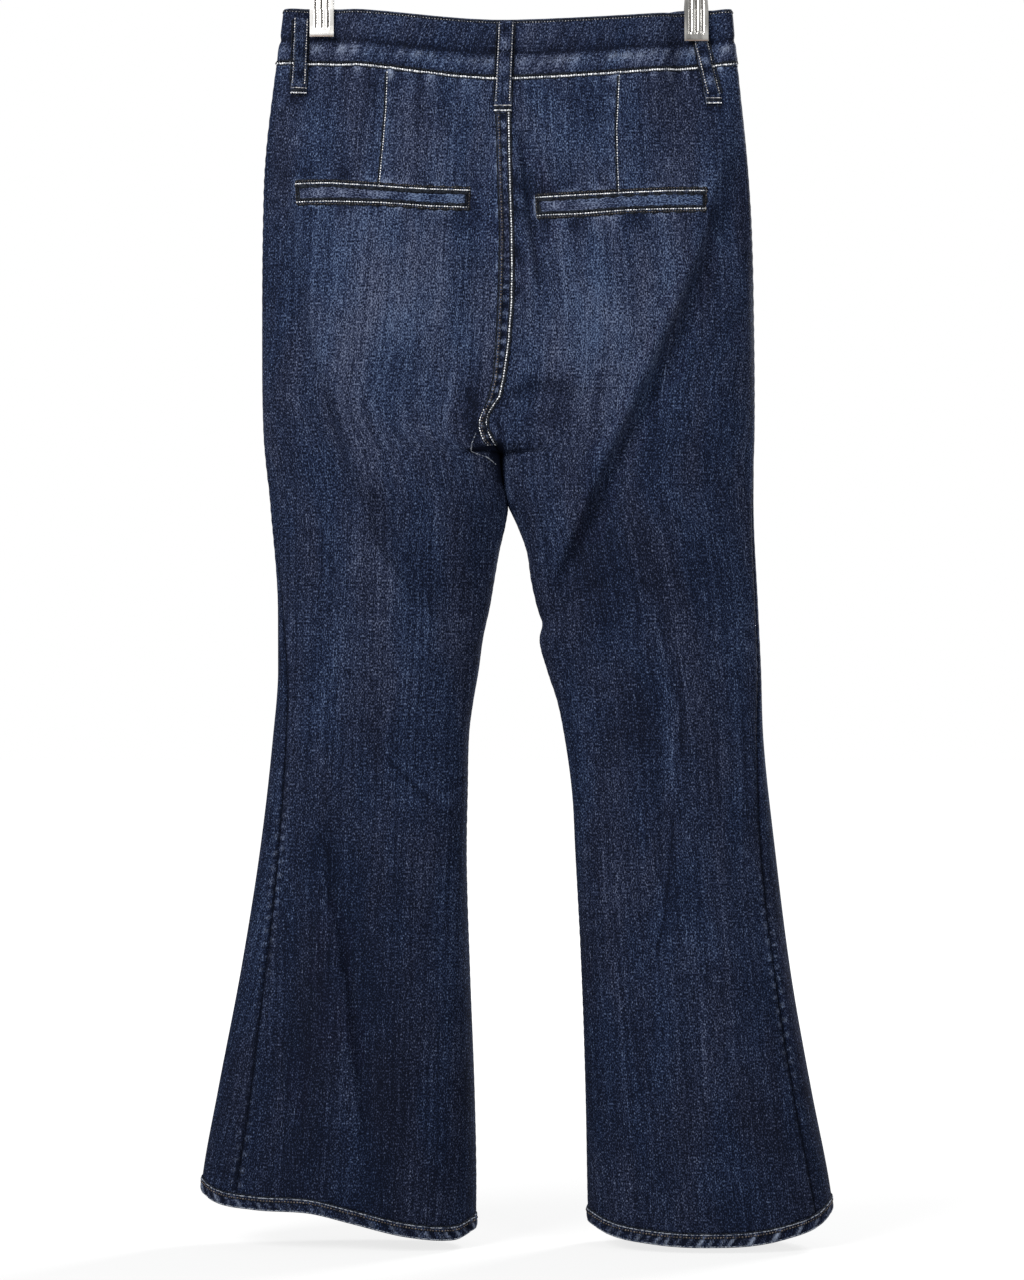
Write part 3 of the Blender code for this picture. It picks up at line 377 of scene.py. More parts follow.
# Lighter and darker areas, partly fading and partly painted light and shade, with painted shadow
# under the tuck at the crotch and under the seat: x, drop, half width, half height, change.
AREA_FADING_AND_SHADE = {
    BACK: (
        (-96, 255, 66, 90, 0.27),
        (78, 265, 56, 80, 0.25),
        (-60, 120, 55, 45, 0.11),
        (60, 125, 55, 45, 0.08),
        (-110, 470, 40, 90, 0.06),
        (-125, 590, 45, 60, 0.06),
        (-60, 470, 40, 50, -0.06),
        (70, 470, 30, 60, -0.1),
        (116, 590, 55, 90, -0.06),
        (150, 830, 60, 130, 0.04),
        (-176, 900, 34, 170, -0.1),
        (-112, 930, 22, 130, -0.12),
        (-10.5, 391.5, 4.6, 6.5, -1.3),
        (-157, 790, 40, 110, -0.08),
        (165, 990, 60, 90, 0.05),
        (-33, 350, 13, 26, -0.16),
        (30, 336, 26, 8, -0.14),
        (40, 362, 24, 14, -0.08),
        (148, 640, 14, 60, 0.05),
        (106, 628, 26, 40, -0.09),
        (84, 512, 34, 30, -0.05),
        (-100, 60, 16, 12, -0.14),
        (-150, 130, 40, 20, -0.06),
    ),
    FRONT: (
        (-100, 330, 60, 150, 0.22),
        (100, 330, 60, 150, 0.22),
        (-120, 620, 50, 90, 0.12),
        (130, 620, 50, 90, 0.12),
    ),
}

# ---------------------------------------------------------------- where the sewing runs
# The two edges of the strip over the centre back seam, as (x, drop) places down it.
SEAT_ROW = (
    (-0.4, 92), (0.5, 143), (2.2, 199), (2.6, 229), (2.2, 260), (-0.4, 295), (-4.6, 326),
    (-8.4, 343), (-14, 351.3), (-18.6, 358.3), (-20.1, 365.5), (-19.1, 371.4), (-16, 377.5),
    (-12, 384),
)
SEAT_ROW_INNER = (
    (-11.5, 92), (-10.6, 107), (-9.7, 143), (-7.9, 199), (-8.8, 250), (-10.6, 292), (-13.5, 328),
    (-17.5, 344), (-22.6, 356.3), (-25.6, 363.4), (-25.8, 370.5), (-24.1, 376.5), (-22.1, 381.6),
    (-18.5, 384.5),
)
# The second bright row, only where that seam curls under, and the tucked edge beside it.
SEAT_ROW_CURL = (
    (-22.2, 355), (-25, 363.4), (-25.2, 370.5), (-23.6, 376.5), (-21.6, 381.6), (-18.6, 384.5),
)
TUCK_EDGE = (
    (-28.7, 374.5), (-32.2, 383.6), (-33.2, 390.2), (-29.7, 391.9), (-18.6, 395.4), (-11.5, 401),
)
DARTS = {
    "dart_left": ((-106.5, 58), (-107.5, 90), (-110, 125), (-113, 158)),
    "dart_right": ((96.5, 61), (94, 109), (94.5, 140), (95.4, 166)),
}
# The stitched frames of the pockets: upper edge outward from the centre, then lower edge back.
WELT_FRAMES = {
    "welt_left": (
        (-34.3, 161), (-80, 160), (-120, 157), (-155, 154.5), (-185.7, 154.5), (-184.5, 175),
        (-150, 175), (-110, 176.5), (-70, 179.5), (-35.2, 180.4),
    ),
    "welt_right": (
        (23.8, 167.2), (60, 165.5), (100, 163.5), (140, 161.5), (171.6, 161), (170.7, 181.3),
        (135, 182), (100, 183.5), (60, 186.5), (25, 187.4),
    ),
}


# ---------------------------------------------------------------- the form
def bell(off, reach):
    return np.exp(-((off / reach) ** 2))


def ease(u):
    u = np.clip(u, 0, 1)
    return u * u * (3 - 2 * u)


def step(off, height, width):
    return height * ease(off / width)


def rounded(u):
    return (1 - (1 - np.clip(u, 0, 1)) ** ROLL_POWER) ** (1 / ROLL_POWER)


def lengths(line):
    """Length along a line of places, from 0 at its first one."""
    return np.concatenate([[0], np.cumsum(np.linalg.norm(np.diff(line, axis=0), axis=1))])


def curve(at, columns, name):
    """A cubic through one column of a table against its first one, never past a row's value."""
    x, y = next(iter(columns.values())), columns[name]
    slope = np.diff(y) / np.diff(x)
    tangent = np.concatenate([slope[:1], (slope[1:] + slope[:-1]) / 2, slope[-1:]])
    tangent[1:-1][slope[1:] * slope[:-1] <= 0] = 0
    steep = 3 * np.abs([np.append(slope, slope[-1]), np.insert(slope, 0, slope[0])]).min(axis=0)
    tangent = np.clip(tangent, -steep, steep)
    at = np.clip(at, x[0], x[-1])
    k = np.clip(np.searchsorted(x, at, side="right") - 1, 0, len(x) - 2)
    span = x[k + 1] - x[k]
    u = (at - x[k]) / span
    ends = y[k] * (1 + 2 * u) * (1 - u) ** 2 + y[k + 1] * u * u * (3 - 2 * u)
    return ends + span * (tangent[k] * u * (1 - u) ** 2 - tangent[k + 1] * u * u * (1 - u))


def rise_along(path, q):
    """Drop and share of depth at q from 0 to 1 down a centre seam, even in length along it."""
    path = np.array(path, float)
    along = lengths(path * (1, DEPTH["back"].max()))
    return [np.interp(q, along / along[-1], values) for values in path.T]


def side_name(side):
    return "left" if side == LEFT else "right"


def face_name(face):
    return "back" if face == BACK else "front"


def hem_ends(side):
    """Drop of a hem at its outer edge and at its inseam."""
    return HEM[side_name(side) + "_back"][[0, -1]]


def rails(side, face, q):
    """Drop of the row at q where it meets the outer and the inner edge, and the seam's depth."""
    hem_outer, hem_inner = hem_ends(side)
    outer = np.interp(q, (-1, 0, 1, 2), (0, SEAM_AT_SIDE, CROTCH_AT_SIDE, hem_outer))
    sag, rise = (BACK_WAIST_SAG, BACK_RISE) if face == BACK else (FRONT_WAIST_SAG, FRONT_RISE)
    drop, share = rise_along(rise, np.clip(q, 0, 1))
    band = sag + (rise[0][0] - sag) * (q + 1)
    leg = CROTCH_DROP + (hem_inner - CROTCH_DROP) * (q - 1)
    return outer, np.where(q < 0, band, np.where(q > 1, leg, drop)), share


def beside(x, drop, line):
    """How far places lie from a line, positive on its left, how far along it, and its length."""
    line = np.array(line, float)
    nearest = np.full(np.shape(x), np.inf)
    signed, along = np.zeros((2, *np.shape(x)))
    started = 0.0
    for (ax, ad), (bx, bd) in zip(line[:-1], line[1:]):
        length = math.hypot(bx - ax, bd - ad)
        ux, ud = (bx - ax) / length, (bd - ad) / length
        run = np.clip((x - ax) * ux + (drop - ad) * ud, 0, length)
        dx, dd = x - ax - run * ux, drop - ad - run * ud
        away = np.hypot(dx, dd)
        closer = away < nearest
        nearest = np.where(closer, away, nearest)
        signed = np.where(closer, np.sign(dx * ud - dd * ux) * away, signed)
        along = np.where(closer, started + run, along)
        started += length
    return signed, along, started


def ends_fade(along, whole, share):
    return ease(along / whole / share) * ease((1 - along / whole) / share)


def fold_height(x, drop, rise, rise_width, fall, fall_width, edge, *line):
    signed, along, whole = beside(x, drop, line)
    left = 0.5 + 0.5 * np.tanh(signed / edge)
    down, up = -fall * bell(signed, fall_width), rise * bell(signed, rise_width)
    return ends_fade(along, whole, FOLD_FADE) * (down * left + up * (1 - left))


def crease_height(x, drop, top, half_width, *line):
    signed, along, whole = beside(x, drop, line)
    return top * ends_fade(along, whole, CREASE_FADE) * bell(signed, half_width)


def swell_height(x, drop, mid_x, mid_drop, half_width, half_height, top):
    return top * bell(np.hypot((x - mid_x) / half_width, (drop - mid_drop) / half_height), 1)


def all_on(face, x, drop, folds, creases, swells):
    """What the folds, creases and swellings of a face add up to at x and drop."""
    total = np.zeros(np.shape(x))
    for height, rows in ((fold_height, folds), (swell_height, swells), (crease_height, creases)):
        for row in rows[face]:
            total += height(x, drop, *row)
    return total


def point(side, face, q, t):
    """A place on the cloth's outer face: x, y and z in millimetres from the hook's crown."""
    q, t = np.broadcast_arrays(np.asarray(q, float), np.asarray(t, float))
    outer_drop, inner_drop, share = rails(side, face, q)
    outer_x = side * curve(outer_drop, OUTER, side_name(side))
    if face == BACK:
        seam_x = curve(inner_drop, SEAT_SEAM, "x")
    else:
        bent = ease((inner_drop - FRONT_SEAM_BENDS) / (CROTCH_DROP - FRONT_SEAM_BENDS))
        seam_x = SEAT_SEAM["x"][-1] * bent
    inner_x = np.where(q < 1, seam_x, side * curve(inner_drop, INNER, side_name(side)))
    x = outer_x + (inner_x - outer_x) * t

    hung = ease((t - HELD_TO) / (1 - HELD_TO))  # the waist sags between the clips only
    if (side, face) == (RIGHT, BACK):
        hung = 1 - (1 - t) ** PULLED_STRAIGHT
    fall = hung + (ease(t) - hung) * ease((q - LEVEL_FROM) / (1 - LEVEL_FROM))
    drop = outer_drop + (inner_drop - outer_drop) * fall
    hem_outer, hem_inner = hem_ends(side)
    hem_curve = curve(t, HEM, f"{side_name(side)}_{face_name(face)}")
    hem_bend = hem_curve - hem_outer - (hem_inner - hem_outer) * ease(t)
    drop = drop + hem_bend * ease((q - HEM_FROM) / (2 - HEM_FROM))

    inside = np.where(q < 1, share, 0)
    inside = inside + (1 - inside) * rounded((1 - t) / curve(drop, DEPTH, "inner_roll"))
    depth = curve(drop, DEPTH, face_name(face)) + all_on(face, x, drop, FOLDS, CREASES, SWELLS)
    y = rounded(t / curve(drop, DEPTH, "outer_roll")) * inside * depth

    past = np.maximum(np.abs(x - CLIP_X[side]) - CLIP_WIDTH / 2 - PINCH_MARGIN, 0)
    pinch = bell(past, PINCH_REACH) * (1 - ease((drop - PINCH_DROP) / PINCH_FADE))
    y = y + (np.minimum(PINCHED, y) - y) * pinch
    y = face * y + curve(drop, DEPTH, "swing")
    return np.stack([x, y, -WAIST_BELOW_HOOK - drop], axis=-1)


BEND_ROOM = 24.0  # a turn of one radian takes as many columns as this length of flat cloth
FINE = 260  # samples across one face before the columns are spread


def spread(line, stops, counts):
    """Places along one row's line, between the given stops, closer together where it bends."""
    steps = np.diff(line, axis=0)
    sizes = np.linalg.norm(steps, axis=1)
    ways = steps / sizes[:, None]
    turns = np.concatenate([[0], np.arccos(np.clip((ways[1:] * ways[:-1]).sum(1), -1, 1))])
    weight = np.concatenate([[0], np.cumsum(sizes + BEND_ROOM * turns)])
    marks = np.interp(stops, lengths(line), weight)
    parts = [np.linspace(a, b, n) for a, b, n in zip(marks, marks[1:], counts)]
    at = np.concatenate([parts[0], *(part[1:] for part in parts[1:])])
    return np.stack([np.interp(at, weight, axis) for axis in line.T], axis=1)


def side_grid(side, rows, back_columns, front_columns):
    """Points of one side's cloth, row by row, from the back's inner edge round to the front's."""
    across = (1 - np.cos(np.linspace(0, np.pi, FINE))) / 2
    q = np.asarray(rows, float)
    back = point(side, BACK, q[:, None], 1 - across[None])
    front = point(side, FRONT, q[:, None], across[None])
    # How far the side seam lies on the back, from the outer edge.
    seams = curve(rails(side, BACK, q)[0], OUTER, side_name(side) + "_turn")
    grid = []
    for row_back, row_front, seam in zip(back, front, seams):
        line = np.concatenate([row_back, row_front[1:]])
        stops = (0, lengths(row_back)[-1] - seam, lengths(line)[-1])
        grid.append(spread(line, stops, (back_columns, front_columns)))
    return np.array(grid)


def outward(grid, rows, side):
    """Unit normals that point out of the cloth, shared by the pieces that meet at a seam."""
    across = np.gradient(grid, axis=1)
    closed = np.asarray(rows) >= 1 - 1e-6
    wrap = grid[:, 1] - grid[:, -2]
    across[closed, 0] = across[closed, -1] = wrap[closed] / 2
    normal = np.cross(np.gradient(grid, axis=0), across) * side
    normal[~closed, 0, 0] = 0  # both sides of a centre seam share one normal
    normal[~closed, -1, 0] = 0
    return normal / np.linalg.norm(normal, axis=2, keepdims=True)


# ---------------------------------------------------------------- finishes
def blank(name):
    made = bpy.data.materials.new(name)
    made.use_nodes = True
    return made, made.node_tree, made.node_tree.nodes["Principled BSDF"]


def node(tree, kind, **settings):
    made = tree.nodes.new(kind)
    for key, value in settings.items():
        setattr(made, key, value)
    return made


def feed(tree, socket, value):
    """Links a socket to another one, or sets its constant."""
    if isinstance(value, bpy.types.NodeSocket):
        tree.links.new(value, socket)
    else:
        socket.default_value = value


def scaled(tree, value, by, offset, clamped=False):
    """value * by + offset."""
    made = node(tree, "ShaderNodeMath", operation="MULTIPLY_ADD", use_clamp=clamped)
    for socket, fed in zip(made.inputs, (value, by, offset)):
        feed(tree, socket, fed)
    return made.outputs[0]


def plus(tree, total, value, amount):
    """total + (value - 0.5) * amount."""
    return scaled(tree, scaled(tree, value, amount, -amount / 2), 1.0, total)


def mixed(tree, share, first, second, **settings):
    """Two colours mixed by a share from 0 to 1."""
    mix = node(tree, "ShaderNodeMix", data_type="RGBA", **settings)
    feed(tree, mix.inputs["Factor"], share)
    feed(tree, mix.inputs[6], first)
    feed(tree, mix.inputs[7], second)
    return mix.outputs[2]


def noise(tree, vector, scale, detail=3.0, offset=0.0):
    """Noise whose grain is stretched: scale is how many times it repeats in a metre, each way."""
    mapping = node(tree, "ShaderNodeMapping")
    mapping.inputs["Scale"].default_value = (*scale, 1)[:3]
    mapping.inputs["Location"].default_value = (offset, offset, offset)
    tree.links.new(vector, mapping.inputs["Vector"])
    texture = node(tree, "ShaderNodeTexNoise")
    texture.inputs["Scale"].default_value = 1.0
    texture.inputs["Detail"].default_value = detail
    tree.links.new(mapping.outputs["Vector"], texture.inputs["Vector"])
    return texture.outputs["Fac"]


# Colour of the denim at each level of its tone, which holds fading and painted shade, darkest
# first.
DENIM_TONES = (
    (0.00, (0.0009, 0.0014, 0.0034)),
    (0.10, (0.0007, 0.0011, 0.0028)),
    (0.32, (0.0022, 0.0037, 0.0090)),
    (0.42, (0.0040, 0.0056, 0.0124)),
    (0.52, (0.0057, 0.0080, 0.0163)),
    (0.66, (0.0088, 0.0121, 0.0231)),
    (0.84, (0.0145, 0.0197, 0.0346)),
    (1.00, (0.0345, 0.0440, 0.0650)),
)
WARM_TINT, COOL_TINT = (1.06, 0.99, 1.00, 1), (0.87, 0.97, 1.08, 1)
RUBBED_COLOUR = (0.085, 0.100, 0.130, 1)
# The noises of the cloth: repeats in a metre across and down, detail and offset.
HEATHER = (1050, 540), 2.0
SLUB = (540, 90), 2.0, 7.0
STREAK = (260, 7), 2.0, 3.0
CLOUD = (24, 15), 4.0, 11.0
YARN = (900, 14), 2.0, 17.0
YARN_CONTRAST, YARN_FROM = 7.0, -4.3
HUE = (24, 7), 3.0, 23.0
HUE_CONTRAST, HUE_FROM = 5.0, -2.0
RUB = (240, 240), 3.0, 5.0
# How much each changes the level of the wash, or the rubbing.
HEATHER_AMOUNT, SLUB_AMOUNT, STREAK_AMOUNT = 3.4, 0.90, 0.62
CLOUD_AMOUNT, YARN_AMOUNT = 0.50, 0.34
RUB_HEATHER, RUB_AMOUNT = 1.4, 1.2


def denim_finish():
    made, tree, shader = blank("denim")
    uv = node(tree, "ShaderNodeUVMap", uv_map="weave").outputs["UV"]
    level = node(tree, "ShaderNodeAttribute", attribute_name="wash_and_shade").outputs["Fac"]
    worn = node(tree, "ShaderNodeAttribute", attribute_name="worn").outputs["Fac"]
    heather = noise(tree, uv, *HEATHER)
    yarn = scaled(tree, noise(tree, uv, *YARN), YARN_CONTRAST, YARN_FROM, clamped=True)
    for part, amount in (
        (heather, HEATHER_AMOUNT),
        (noise(tree, uv, *SLUB), SLUB_AMOUNT),
        (noise(tree, uv, *STREAK), STREAK_AMOUNT),
        (noise(tree, uv, *CLOUD), CLOUD_AMOUNT),
        (yarn, YARN_AMOUNT),
    ):
        level = plus(tree, level, part, amount)
    ramp = node(tree, "ShaderNodeValToRGB")
    tones = ramp.color_ramp.elements
    for end, (position, colour) in zip(tones, (DENIM_TONES[0], DENIM_TONES[-1])):
        end.position, end.color = position, (*colour, 1)
    for position, colour in DENIM_TONES[1:-1]:
        tones.new(position).color = (*colour, 1)
    tree.links.new(level, ramp.inputs["Fac"])
    hue = scaled(tree, noise(tree, uv, *HUE), HUE_CONTRAST, HUE_FROM, clamped=True)
    tint = mixed(tree, hue, WARM_TINT, COOL_TINT)
    cast = mixed(tree, 1.0, ramp.outputs["Color"], tint, blend_type="MULTIPLY")
    rubbed = plus(tree, worn, heather, RUB_HEATHER)
    rubbed = plus(tree, rubbed, noise(tree, uv, *RUB), RUB_AMOUNT)
    shown = scaled(tree, rubbed, worn, 0.0, clamped=True)
    shader.inputs["Roughness"].default_value = 0.86
    shader.inputs["Specular IOR Level"].default_value = 0.02
    tree.links.new(mixed(tree, shown, cast, RUBBED_COLOUR), shader.inputs["Base Color"])
    bump = node(tree, "ShaderNodeBump")
    bump.inputs["Strength"].default_value = 0.45
    bump.inputs["Distance"].default_value = 0.0005
    tree.links.new(heather, bump.inputs["Height"])
    tree.links.new(bump.outputs["Normal"], shader.inputs["Normal"])
    return made


def plain_finish(name, first, second, scale, roughness, metallic=0.0, contrast=6.0):
    """Two tones mixed by fine noise, in the object's own coordinates."""
    made, tree, shader = blank(name)
    grain = noise(tree, node(tree, "ShaderNodeTexCoord").outputs["Object"], scale)
    share = scaled(tree, grain, contrast, 0.5 - contrast / 2, clamped=True)
    tree.links.new(mixed(tree, share, (*first, 1), (*second, 1)), shader.inputs["Base Color"])
    shader.inputs["Roughness"].default_value = roughness
    shader.inputs["Metallic"].default_value = metallic
    shader.inputs["Specular IOR Level"].default_value = 0.5 if metallic else 0.02
    return made


DENIM = denim_finish()
# Darker and lighter tone, repeats in a metre each way, roughness, metallic and contrast.
FINISHES = {
    name: plain_finish(name, *row)
    for name, row in {
        "rubbed_edge": (
            (0.045, 0.050, 0.062), (0.32, 0.325, 0.33), (700, 700, 700), 0.9, 0.0, 7.0,
        ),
        "faded_edge": (
            (0.008, 0.011, 0.020), (0.085, 0.092, 0.105), (600, 600, 600), 0.9, 0.0, 7.0,
        ),
        "brown_thread": ((0.011, 0.009, 0.009), (0.056, 0.048, 0.042), (500, 500, 500), 0.8),
        "pale_thread": ((0.040, 0.043, 0.052), (0.23, 0.225, 0.22), (500, 500, 500), 0.8),
        # Dark thread, also the finish of the dark lines of painted shadow.
        "dark_thread_and_shadow": ((0.0012, 0.0014, 0.0022), (0.005, 0.006, 0.008), (500, 500, 500), 0.85),
        # One steel twice: painted lit for the left clips, painted shaded for the right ones.
        "steel_painted_lit": ((0.34, 0.335, 0.32), (0.52, 0.51, 0.50), (120, 120, 26), 0.34, 1.0, 3.0),
        "steel_painted_shaded": ((0.15, 0.147, 0.14), (0.34, 0.335, 0.32), (150, 150, 34), 0.26, 1.0, 4.0),
        "slot_shadow": ((0.020, 0.019, 0.018), (0.060, 0.057, 0.054), (90, 90, 30), 0.6),
        "dull_steel": ((0.10, 0.075, 0.06), (0.20, 0.16, 0.14), (300, 300, 60), 0.5, 1.0, 2.0),
        "aged_brass": ((0.26, 0.20, 0.13), (0.42, 0.35, 0.26), (600, 600, 600), 0.38, 1.0, 3.0),
    }.items()
}


# ---------------------------------------------------------------- helpers for shapes on the cloth
# How an uneven wave wanders: how much, over what length, and how far a seed turns it. Then its
# mean height, how much that changes, over what length, and how far a seed turns it.
RIPPLE_WANDER = ((1.6, 31, 1), (0.9, 13, 2.3))
RIPPLE_SWELL = (0.62, 0.38, 47, 1.7)


def ripple(at, pitch, seed):
    """An uneven wave along a length: its pitch and its height both wander."""
    wander = sum(much * np.sin(at / length + turn * seed) for much, length, turn in RIPPLE_WANDER)
    mean, change, length, turn = RIPPLE_SWELL
    swell = mean + change * np.sin(at / length + turn * seed)
    return swell * np.sin(2 * np.pi * at / pitch + wander)


def along_rows(grid):
    """Arc length along each row of points, in millimetres."""
    return np.stack([lengths(row) for row in grid])


def drop_of(grid):
    return -WAIST_BELOW_HOOK - grid[..., 2]


def linked(name, mesh, finish):
    mesh.shade_smooth()
    mesh.materials.append(finish)
    made = bpy.data.objects.new(name, mesh)
    bpy.context.scene.collection.objects.link(made)
    return made


def cloth(name, grid, ways, weave, wash_and_shade, worn, wall):
    """A sheet of denim with its outer face on a grid of points in millimetres.

    ways point out of the cloth, weave is its place on the woven cloth, the tone is how faded it is
    with painted light and shade in it, and worn is how rubbed it is. The wall goes inward.
    """
    rows, columns = grid.shape[:2]
    bm = bmesh.new()
    bmesh.ops.create_grid(bm, x_segments=columns - 1, y_segments=rows - 1, size=1)
    mesh = bpy.data.meshes.new(name)
    bm.to_mesh(mesh)
    bm.free()
    mesh.vertices.foreach_set("co", (grid * MM).reshape(-1))
    corners = np.zeros(len(mesh.loops), int)
    mesh.loops.foreach_get("vertex_index", corners)
    while mesh.uv_layers:
        mesh.uv_layers.remove(mesh.uv_layers[0])
    laid = mesh.uv_layers.new(name="weave")
    laid.data.foreach_set("uv", (weave.reshape(-1, 2)[corners] * MM).reshape(-1))
    for title, values in (("wash_and_shade", wash_and_shade), ("worn", worn)):
        values = np.broadcast_to(values, (rows, columns)).astype(float).reshape(-1)
        mesh.attributes.new(title, "FLOAT", "POINT").data.foreach_set("value", values)
    made = linked(name, mesh, DENIM)
    mesh.update()

    normals = np.zeros(len(mesh.polygons) * 3)
    mesh.polygons.foreach_get("normal", normals)
    starts = np.zeros(len(mesh.polygons), int)
    mesh.polygons.foreach_get("loop_start", starts)
    agree = (normals.reshape(-1, 3) * ways.reshape(-1, 3)[corners[starts]]).sum(1)
    if np.median(agree) < 0:
        mesh.flip_normals()
    if wall:
        solid = made.modifiers.new("thickness", "SOLIDIFY")
        solid.thickness = wall * MM
        solid.offset = -1
        solid.use_rim = True
    return made


def tree_of(objects):
    bm = bmesh.new()
    for one in objects:
        bm.from_mesh(one.data)
    tree = BVHTree.FromBMesh(bm)
    bm.free()
    return tree


def on_cloth(tree, face, place):
    """The place on the cloth behind (x, drop), or nearest to (x, y, z), and the way out there."""
    if len(place) == 3:
        hit, normal = tree.find_nearest(Vector(place) * MM)[:2]
        return np.array(hit) / MM, np.array(normal)
    start = Vector((place[0], face * 200.0, -WAIST_BELOW_HOOK - place[1])) * MM
    hit, normal = tree.ray_cast(start, Vector((0, -face, 0)))[:2]
    if hit is None:
        return None
    return np.array(hit) / MM, np.array(normal if normal.y * face > 0 else -normal)


def even(line, pitch=None, count=None):
    """Places evenly apart along a line, and their length along it."""
    length = lengths(line)
    at = np.linspace(0, length[-1], count or max(int(round(length[-1] / pitch)), 2) + 1)
    return np.stack([np.interp(at, length, axis) for axis in np.transpose(line)], axis=1), at


def laid_line(tree, face, line, pitch, height):
    """Points that follow the cloth along a line, at a height over it, with the ways out of it."""
    points, ways, kept = [], [], []
    for place, length in zip(*even(line, pitch)):
        found = on_cloth(tree, face, place)
        if found:
            points.append(found[0] + found[1] * height)
            ways.append(found[1])
            kept.append(length)
    return np.array(points), np.array(ways), np.array(kept)


WEAVE_STEP = 37  # each strip is cut from another place in the cloth
RUBBED_EDGE = 0.14  # share of a strip's width


def laid_strip(
    name, face, first, second, height_at, level, wall, columns=9, pitch=2.4, ladder=(17, 0.05)
):
    """A strip of denim between two lines on the cloth. height_at(along, across) is its height
    over it, level its wash, and ladder the pitch and strength of its faded rungs."""
    a, at = even(first, pitch)
    b, _ = even(second, count=len(a))
    across = np.linspace(0, 1, columns)
    grid, ways = np.zeros((2, len(a), columns, 3))
    for i, length in enumerate(at):
        for j, share in enumerate(across):
            place, ways[i, j] = on_cloth(under, face, a[i] + (b[i] - a[i]) * share)
            grid[i, j] = place + ways[i, j] * height_at(length, share)
    wide = along_rows(grid)
    down = np.broadcast_to(at[:, None], wide.shape)
    weave = np.stack([wide + WEAVE_STEP * len(name), down], axis=2)
    rung = ripple(down, ladder[0], len(name))
    arch = ladder[1] * np.sin(np.pi * across)
    rim = 0.5 * np.clip(1 - np.minimum(across, 1 - across) / RUBBED_EDGE, 0, 1)
    wash_and_shade, worn = level + rung * arch, rim + np.clip(rung, 0, 1) * arch
    return cloth(name, grid, ways, weave, wash_and_shade, worn, wall)


def object_of(bm, name, finish):
    bmesh.ops.recalc_face_normals(bm, faces=bm.faces)
    mesh = bpy.data.meshes.new(name)
    bm.to_mesh(mesh)
    bm.free()
    return linked(name, mesh, finish)


def tube(bm, points, ways, radius, sides=6):
    """A round line through points; ways are the directions out of the cloth there."""
    tangent = np.gradient(points, axis=0)
    other = np.cross(tangent, ways)
    other /= np.linalg.norm(other, axis=1, keepdims=True)
    turn = np.linspace(0, 2 * np.pi, sides + 1)
    sheet = bmesh.ops.create_grid(bm, x_segments=sides, y_segments=len(points) - 1, size=1)
    radius = np.broadcast_to(radius, len(points))
    for k, vert in enumerate(sheet["verts"]):
        row, side = divmod(k, sides + 1)
        out = math.cos(turn[side]) * ways[row] + math.sin(turn[side]) * other[row]
        vert.co = Vector(points[row] + radius[row] * out) * MM
    bmesh.ops.remove_doubles(bm, verts=sheet["verts"], dist=1e-7)


LINE_PITCH = 1.8
LINE_UNEVEN, LINE_UNEVEN_PITCH = 0.28, 11  # share of a line's radius


def lines(name, tree, rows, finish):
    """Rubbed edges and dark lines of painted shadow: (face, line, radius, height) each."""
    bm = bmesh.new()
    for seed, (face, line, radius, height) in enumerate(rows):
        points, ways, at = laid_line(tree, face, line, LINE_PITCH, height)
        tube(bm, points, ways, radius * (1 + LINE_UNEVEN * ripple(at, LINE_UNEVEN_PITCH, seed)))
    return object_of(bm, name, finish)


STITCH_FLAT = 0.7  # height of a stitch to its width


def stitches(name, tree, rows, finish):
    """Rows of bead-like stitches: (face, line, pitch, length, radius, height) each."""
    bm = bmesh.new()
    bmesh.ops.create_uvsphere(bm, u_segments=6, v_segments=4, radius=1)
    shape = bpy.data.meshes.new("stitch")
    bm.to_mesh(shape)
    bm.clear()
    plain = np.zeros(len(shape.vertices) * 3)
    shape.vertices.foreach_get("co", plain)
    for face, line, pitch, length, radius, height in rows:
        points, ways, _ = laid_line(tree, face, line, pitch, height)
        size = Matrix.Diagonal((length / 2, radius, radius * STITCH_FLAT, 1))
        for place, way, run in zip(points, ways, np.gradient(points, axis=0)):
            run = Vector(run).normalized()
            side = run.cross(Vector(way)).normalized()
            turn = Matrix((run, side, side.cross(run))).transposed().to_4x4()
            shape.vertices.foreach_set("co", plain)
            shape.transform(Matrix.Scale(MM, 4) @ Matrix.Translation(place) @ turn @ size)
            bm.from_mesh(shape, face_normals=False, vertex_normals=False)
    bpy.data.meshes.remove(shape)
    return object_of(bm, name, finish)


def ridden(made):
    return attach(made, "root")


# ---------------------------------------------------------------- tone, painted shade and puckers of the panels
# Belt loops: name, face, top, bottom, width, the drop from which it stands free, and its lift.
LOOPS = (
    ("belt_loop_back", BACK, (-2.5, 12.5), (-5.5, 93), 14.0, 22, 1.8),
    ("belt_loop_back_left", BACK, (-182.5, 8), (-184.5, 76), 12.6, 18, 1.8),
    ("belt_loop_back_right", BACK, (164.5, 8), (179.5, 85), 12.6, 36, 1.2),
    ("belt_loop_front_left", FRONT, (-108, 15), (-109, 86), 12.6, 24, 1.8),
    ("belt_loop_front_right", FRONT, (108, 15), (109, 86), 12.6, 24, 1.8),
)
LOOP_SHADE = 3.6  # reach of the painted shade beside a loop


def painted_shade_by_loops(x, drop):
    """Painted shade close beside the loops of the back, from 0 to 1."""
    shade = np.zeros(np.shape(x))
    for _, face, top, bottom, width, _, _ in LOOPS:
        if face == BACK:
            past = np.abs(beside(x, drop, (top, bottom))[0]) - width / 2
            shade = np.maximum(shade, bell(np.maximum(past, 0), LOOP_SHADE))
    return shade


def closed(outline):
    return (*outline, outline[0])


SEAM_STARTS = 0.045  # share of a face beside its outer edge that the puckers leave out
SEAM_BELOW = 0.6


